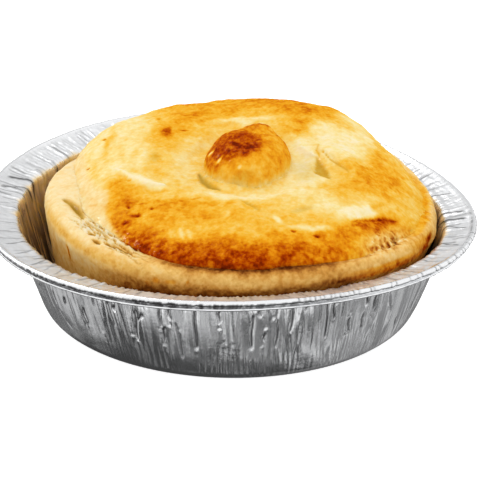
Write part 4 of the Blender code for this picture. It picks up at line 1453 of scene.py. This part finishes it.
def button_top(turn, shares):
    """Rows of the button's domed top."""
    x, y = button_place(turn, shares)
    body = np.clip(shares / 0.94, 0, 1)
    dome = np.clip(1 - body ** BUTTON_FULLNESS, 0, 1) ** BUTTON_SHOULDER
    dent = BUTTON_DENT * source_noise(x, y, 40.0 / BUTTON_DENT_PITCH, BUTTON_DENT_PITCH)
    for *place, lump in BUTTON_LUMPS:
        dent = dent + lump * stroke_share(x, y, *place)
    lift = BUTTON_BACK_LIFT * (y - BUTTON_CENTRE[1])
    skirt = BUTTON_SKIRT * (1 - smooth_step(shares, 0.88, 1.0))
    over = BUTTON_GAP + BUTTON_SINK - BUTTON_SKIRT + BUTTON_EDGE_THICKNESS + BUTTON_HEIGHT
    rise = BUTTON_EDGE_RISE + skirt + (over - BUTTON_EDGE_RISE + lift + dent) * dome
    return button_under(turn, shares) + rise[..., None] * (0, 0, 1)


def make_button(look):
    turn = turns(BUTTON_COLUMNS)
    spread = np.linspace(0, 1, BUTTON_ROWS + 1)[1:, None]
    shares = 1 - (1 - spread) ** 1.5
    top = button_top(turn, shares)
    x, y = top[..., 0] - PIE_CENTRE[0], top[..., 1] - PIE_CENTRE[1]
    skin = Bumps(59)
    relief = 0.18 * skin.rough(x / 3.6, y / 3.6, 0.0) + 0.10 * skin.rough(x / 1.2, y / 1.2, 4.0)
    pitted = smooth_step(shares, 0.84, 0.95) * smooth_step(-y - 0.3 * x, 2, 9)
    relief = relief + pitted * 0.22 * skin.rough(x / 1.1, y / 1.1, shares * 9)
    relief = relief * (1 - smooth_step(shares, 0.99, 1.0))
    top = top - grid_normals(top) * relief[..., None]
    browning = brushed(x, y, BUTTON_STROKES, 0.52, 0.7) + 0.08 * skin.rough(x / 2.0, y / 2.0, 6.0)
    skirt = 0.24 + 0.10 * skin.rough(x / 1.2, y / 1.2, 9.0)
    browning = np.clip(toward(browning, skirt, smooth_step(shares, 0.90, 0.955)), 0, 1)
    # Painted shade: olive in the seam at the front and between the pits of the skirt
    sallow = 0.25 * stroke_share(x, y, *BUTTON_SEAM_SHADE)
    sallow = np.maximum(sallow, pitted * smooth_step(skin.rough(x / 0.9, y / 0.9, 12.0), 0.2, 0.7) * 0.3)
    under = button_under(turn, np.array([[0.5], [0.9], [1.0]]))
    layers = sheet_layers(len(under), browning=browning, sallow=sallow, washed=np.ones(x.shape))
    rows = np.concatenate([under, top[::-1]])
    low = button_under(np.zeros(1), np.zeros((1, 1)))[0, 0]
    return grid_piece("pastry_button_glazed", rows, (low, top[0].mean(axis=0)), layers, look)


# Meshes and materials


def add_object(name, data):
    """A new object in the scene."""
    thing = bpy.data.objects.new(name, data)
    bpy.context.scene.collection.objects.link(thing)
    return thing


def grid_piece(name, rows, poles, layers, look):
    """A closed mesh from rows of points. Two poles close its ends, or without poles the last
    row joins the first. Layers are numbers for the material, one a point."""
    count, columns = rows.shape[:2]
    points = rows.reshape(-1, 3)
    index = np.arange(count * columns).reshape(count, columns)
    if poles is None:
        index = np.concatenate([index, index[:1]])
    after = np.roll(index, -1, axis=1)
    faces = np.stack([index[:-1], after[:-1], after[1:], index[1:]], axis=-1).reshape(-1, 4).tolist()
    if poles is not None:
        low, high = len(points), len(points) + 1
        points = np.concatenate([points, np.array(poles)])
        faces += [(low, b, a) for a, b in zip(index[0].tolist(), after[0].tolist())]
        faces += [(a, b, high) for a, b in zip(index[-1].tolist(), after[-1].tolist())]
    mesh = bpy.data.meshes.new(name)
    mesh.from_pydata((points * MM).tolist(), [], faces)
    for layer, values in layers.items():
        flat = values.reshape(-1)
        if poles is not None:
            flat = np.concatenate([flat, [values[0].mean(), values[-1].mean()]])
        attribute = mesh.attributes.new(layer, "FLOAT", "POINT")
        attribute.data.foreach_set("value", flat.astype(np.float32))
    mesh.shade_smooth()
    mesh.materials.append(look)
    return add_object(name, mesh)


def linear(screen):
    """A colour as a screen shows it, 0 to 255, as the shader takes it."""
    parts = [value / 255 for value in screen]
    return [p / 12.92 if p <= 0.04045 else ((p + 0.055) / 1.055) ** 2.4 for p in parts]


class Look:
    """A material's node tree, with short ways to add and link nodes."""

    def __init__(self, name):
        self.material = bpy.data.materials.new(name)
        self.material.use_nodes = True
        self.tree = self.material.node_tree
        self.shader = self.tree.nodes["Principled BSDF"]
        self.object_place = self.add("ShaderNodeTexCoord").outputs["Object"]

    def add(self, kind, **values):
        node = self.tree.nodes.new(kind)
        for key, value in values.items():
            setattr(node, key, value)
        return node

    def link(self, source, target):
        self.tree.links.new(source, target)

    def fill(self, socket, value):
        """Sets a socket to a number or a colour as a screen shows it, or links it."""
        if isinstance(value, (int, float)):
            socket.default_value = value
        elif isinstance(value, (tuple, list)):
            socket.default_value = (*linear(value), 1)
        else:
            self.link(value, socket)

    def layer(self, name):
        return self.add("ShaderNodeAttribute", attribute_name=name).outputs["Fac"]

    def noise_at(self, place, scale, detail):
        """Noise at places that are first scaled along each axis."""
        mapping = self.add("ShaderNodeMapping")
        mapping.inputs["Scale"].default_value = scale
        self.link(place, mapping.inputs["Vector"])
        texture = self.add("ShaderNodeTexNoise")
        texture.inputs["Scale"].default_value = 1.0
        texture.inputs["Detail"].default_value = detail
        self.link(mapping.outputs["Vector"], texture.inputs["Vector"])
        return texture.outputs["Fac"]

    def noise(self, pitch_mm, detail, longer=(1, 1, 1)):
        """Noise whose bumps are about that far apart, and that many times longer along the axes."""
        scale = [1 / (pitch_mm * MM * part) for part in longer]
        return self.noise_at(self.object_place, scale, detail)

    def math(self, operation, first, second):
        node = self.add("ShaderNodeMath", operation=operation)
        for socket, value in zip(node.inputs, (first, second)):
            self.fill(socket, value)
        return node.outputs[0]

    def plus(self, first, second, times):
        """The first value, and the second that many times."""
        return self.math("ADD", first, self.math("MULTIPLY", second, times))

    def spread(self, value, low, high, to_low, to_high):
        node = self.add("ShaderNodeMapRange")
        for key, number in zip(("From Min", "From Max", "To Min", "To Max"), (low, high, to_low, to_high)):
            node.inputs[key].default_value = number
        self.link(value, node.inputs["Value"])
        return node.outputs["Result"]

    def ramp(self, value, stops):
        """Colours by a value, from a list of (value, red, green, blue) as the shader takes them."""
        node = self.add("ShaderNodeValToRGB")
        while len(node.color_ramp.elements) < len(stops):
            node.color_ramp.elements.new(0.5)
        for element, (place, *colour) in zip(node.color_ramp.elements, stops):
            element.position = place
            element.color = (*colour, 1)
        self.link(value, node.inputs["Fac"])
        return node.outputs["Color"]

    def mix(self, share, first, second):
        node = self.add("ShaderNodeMix", data_type="RGBA")
        sockets = [s for s in node.inputs if s.enabled]
        for socket, value in zip(sockets, (share, first, second)):
            self.fill(socket, value)
        return [s for s in node.outputs if s.enabled][0]

    def bump(self, height, distance_mm, strength):
        node = self.add("ShaderNodeBump")
        node.inputs["Distance"].default_value = distance_mm * MM
        node.inputs["Strength"].default_value = strength
        self.link(height, node.inputs["Height"])
        self.link(node.outputs["Normal"], self.shader.inputs["Normal"])

    def set(self, **values):
        for key, value in values.items():
            self.shader.inputs[key.replace("_", " ")].default_value = value


def pastry_stops(colours):
    """Stops of a ramp, from browning and colours as a screen shows them."""
    return [(place, *(part * PASTRY_SHARE for part in linear(screen))) for place, *screen in colours]


def pastry_look(name, glaze):
    """Baked pastry whose colour follows its browning, its egg wash and a painted olive shade; glaze is how
    glossy it is where brown."""
    look = Look(name)
    browning = look.layer("browning")
    share = look.spread(browning, 0.15, 0.65, 0.5, 1.0)
    for pitch, detail, soft, amount in PASTRY_MOTTLE:
        uneven = look.spread(look.noise(pitch, detail), 0.5 - soft, 0.5 + soft, -0.5 * amount, 0.5 * amount)
        browning = look.math("ADD", browning, look.math("MULTIPLY", uneven, share))
    colour = look.ramp(browning, pastry_stops(CASE_COLOURS))
    colour = look.mix(look.layer("washed"), colour, look.ramp(browning, pastry_stops(BROWNING_COLOURS)))
    # Painted shade: an olive colour mixed in where the pastry's hollows, gaps and seams lie
    sallow = [PASTRY_SHARE ** 0.45 * part for part in OLIVE_SHADE_COLOUR]
    look.link(look.mix(look.layer("sallow"), colour, sallow), look.shader.inputs["Base Color"])
    rough = look.spread(browning, 0.15, 0.8, 0.55, 0.55 - 0.25 * glaze)
    look.link(rough, look.shader.inputs["Roughness"])
    look.set(IOR=1.45, Subsurface_Weight=0.10, Subsurface_Scale=0.002, Specular_IOR_Level=0.0)
    look.set(Subsurface_Radius=(1.0, 0.5, 0.2))
    look.set(Coat_Weight=0.025 * glaze, Coat_Roughness=0.12, Coat_IOR=1.45)
    look.bump(look.plus(look.noise(0.55, 4.0), look.noise(0.22, 2.0), 0.5), 0.10, 0.55)
    return look.material


def foil_look():
    """Bright rolled foil with faint smudges, greasy and brown on the inner wall where the pie touches it,
    that brown partly a painted reflection of the pastry, and with shade and reflection painted into its
    folds.
    """
    look = Look("aluminium foil")
    smudge = look.noise(6.0, 4.0)
    patchy = look.spread(look.noise(3.0, 4.0), 0.35, 0.7, 0.5, 1.0)
    # Golden inner wall: grease, and a painted reflection of the pastry
    grease_and_painted_reflection = look.math("MULTIPLY", look.layer("grease_and_painted_reflection"), patchy)
    colour = look.mix(smudge, *FOIL_COLOURS)
    colour = look.mix(grease_and_painted_reflection, colour, FOIL_GREASE_AND_PAINTED_REFLECTION_COLOUR)
    # Painted shade and painted reflection: the fold layer turns the foil near black in its folds and under
    # its roll
    colour = look.mix(look.layer("fold"), colour, FOIL_PAINTED_SHADE_COLOUR)
    look.link(colour, look.shader.inputs["Base Color"])
    rough = look.spread(smudge, 0.35, 0.7, 0.13, 0.22)
    rough = look.plus(rough, grease_and_painted_reflection, 0.26)
    rough = look.plus(rough, look.layer("satin"), 0.22)
    look.link(rough, look.shader.inputs["Roughness"])
    look.link(look.spread(grease_and_painted_reflection, 0.0, 1.0, 1.0, 0.3), look.shader.inputs["Metallic"])
    look.bump(look.plus(look.noise(0.5, 3.0, (1, 1, 3)), look.noise(1.6, 2.0), 1.5), 0.05, 0.4)
    return look.material


# Stage


def make_floor():
    """A pale floor that the foil doesn't mirror."""
    mesh = bpy.data.meshes.new("floor")
    half = FLOOR_HALF
    corners = [(-half, -half, 0), (half, -half, 0), (half, half, 0), (-half, half, 0)]
    mesh.from_pydata(corners, [], [(0, 1, 2, 3)])
    look = Look("floor paint")
    look.set(Roughness=0.9, Specular_IOR_Level=0.0, Emission_Strength=0.6)
    look.set(Base_Color=(0.80, 0.80, 0.80, 1), Emission_Color=(1, 1, 1, 1))
    mesh.materials.append(look.material)
    floor = add_object("floor", mesh)
    floor.visible_glossy = False


def make_light(name, place, size, watts):
    """A round lamp that shines on the pie."""
    light = bpy.data.lights.new(name, "AREA")
    light.shape = "DISK"
    light.size = size
    light.energy = watts
    lamp = add_object(name, light)
    lamp.location = place
    lamp.rotation_euler = (Vector(LIGHT_AIM) - Vector(place)).to_track_quat("-Z", "Y").to_euler()
    return lamp


class Studio(Look):
    """The world's node tree, with the same short ways to add and link nodes."""

    def __init__(self, name):
        world = bpy.data.worlds.new(name)
        bpy.context.scene.world = world
        world.use_nodes = True
        self.tree = world.node_tree
        self.direction = self.add("ShaderNodeTexCoord").outputs["Generated"]

    def towards(self, axis):
        """How far directions lean towards an axis, from -1 to 1 where the axis is of length 1."""
        node = self.add("ShaderNodeVectorMath", operation="DOT_PRODUCT")
        node.inputs[1].default_value = axis
        self.link(self.direction, node.inputs[0])
        return node.outputs["Value"]


def make_world():
    """A white studio above and a dark table below, which the foil mirrors."""
    studio = Studio("studio")
    patches = studio.noise_at(studio.direction, WORLD_PATCHES, 2.0)
    height = studio.towards(WORLD_UP)
    swing = studio.spread(height, -0.92, -0.66, 0.35 * WORLD_UNEVENNESS, WORLD_UNEVENNESS)
    uneven = studio.math("MULTIPLY", studio.math("SUBTRACT", patches, 0.5), swing)
    share = studio.spread(studio.math("ADD", height, uneven), -1.0, 1.0, 0.0, 1.0)
    bright = studio.ramp(share, [((place + 1) / 2, grey, grey, grey) for place, grey in WORLD_GREYS])
    for axis, narrow, wide, grey in WORLD_LOBES:
        bright = studio.math("ADD", bright, studio.spread(studio.towards(axis), wide, narrow, 0.0, grey))
    bright = studio.math("MAXIMUM", bright, WORLD_DARKEST)
    background = studio.tree.nodes["Background"]
    studio.link(bright, background.inputs["Color"])
    background.inputs["Strength"].default_value = WORLD_STRENGTH


def make_camera():
    swing, climb = math.radians(CAMERA_AZIMUTH), math.radians(CAMERA_ELEVATION)
    roll = math.radians(CAMERA_ROLL)
    back = Vector((
        math.sin(swing) * math.cos(climb), -math.cos(swing) * math.cos(climb), math.sin(climb),
    ))
    level = Vector((math.cos(swing), math.sin(swing), 0.0))
    upright = back.cross(level)
    right = math.cos(roll) * level + math.sin(roll) * upright
    up = -math.sin(roll) * level + math.cos(roll) * upright
    data = bpy.data.cameras.new("camera")
    data.lens = CAMERA_LENS
    data.sensor_width = CAMERA_SENSOR
    camera = add_object("camera", data)
    matrix = Matrix((right, up, back)).transposed().to_4x4()
    matrix.translation = Vector(CAMERA_PLACE)
    camera.matrix_world = matrix
    bpy.context.scene.camera = camera


def stand_for(piece, node):
    """The piece rides with the body and hides the model's node."""
    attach(piece, "root")
    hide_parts(node)


def main():
    bpy.context.scene.view_settings.view_transform = "Standard"
    make_camera()
    make_world()
    make_floor()
    make_light("key", (-0.30, 0.40, 0.80), 0.4, 1.3)
    glint = make_light("glint", (-0.60, 0.30, 0.45), 0.035, 4.0)
    glint.visible_diffuse = False
    for piece in make_tin(foil_look()):
        stand_for(piece, "foil_tray")
    stand_for(make_case(pastry_look("pale pastry", 0.3)), "crust_base")
    stand_for(make_lid(pastry_look("baked pastry", 0.8)), "crust_lid")
    stand_for(make_button(pastry_look("glazed pastry", 1.6)), "pastry_button")


main()
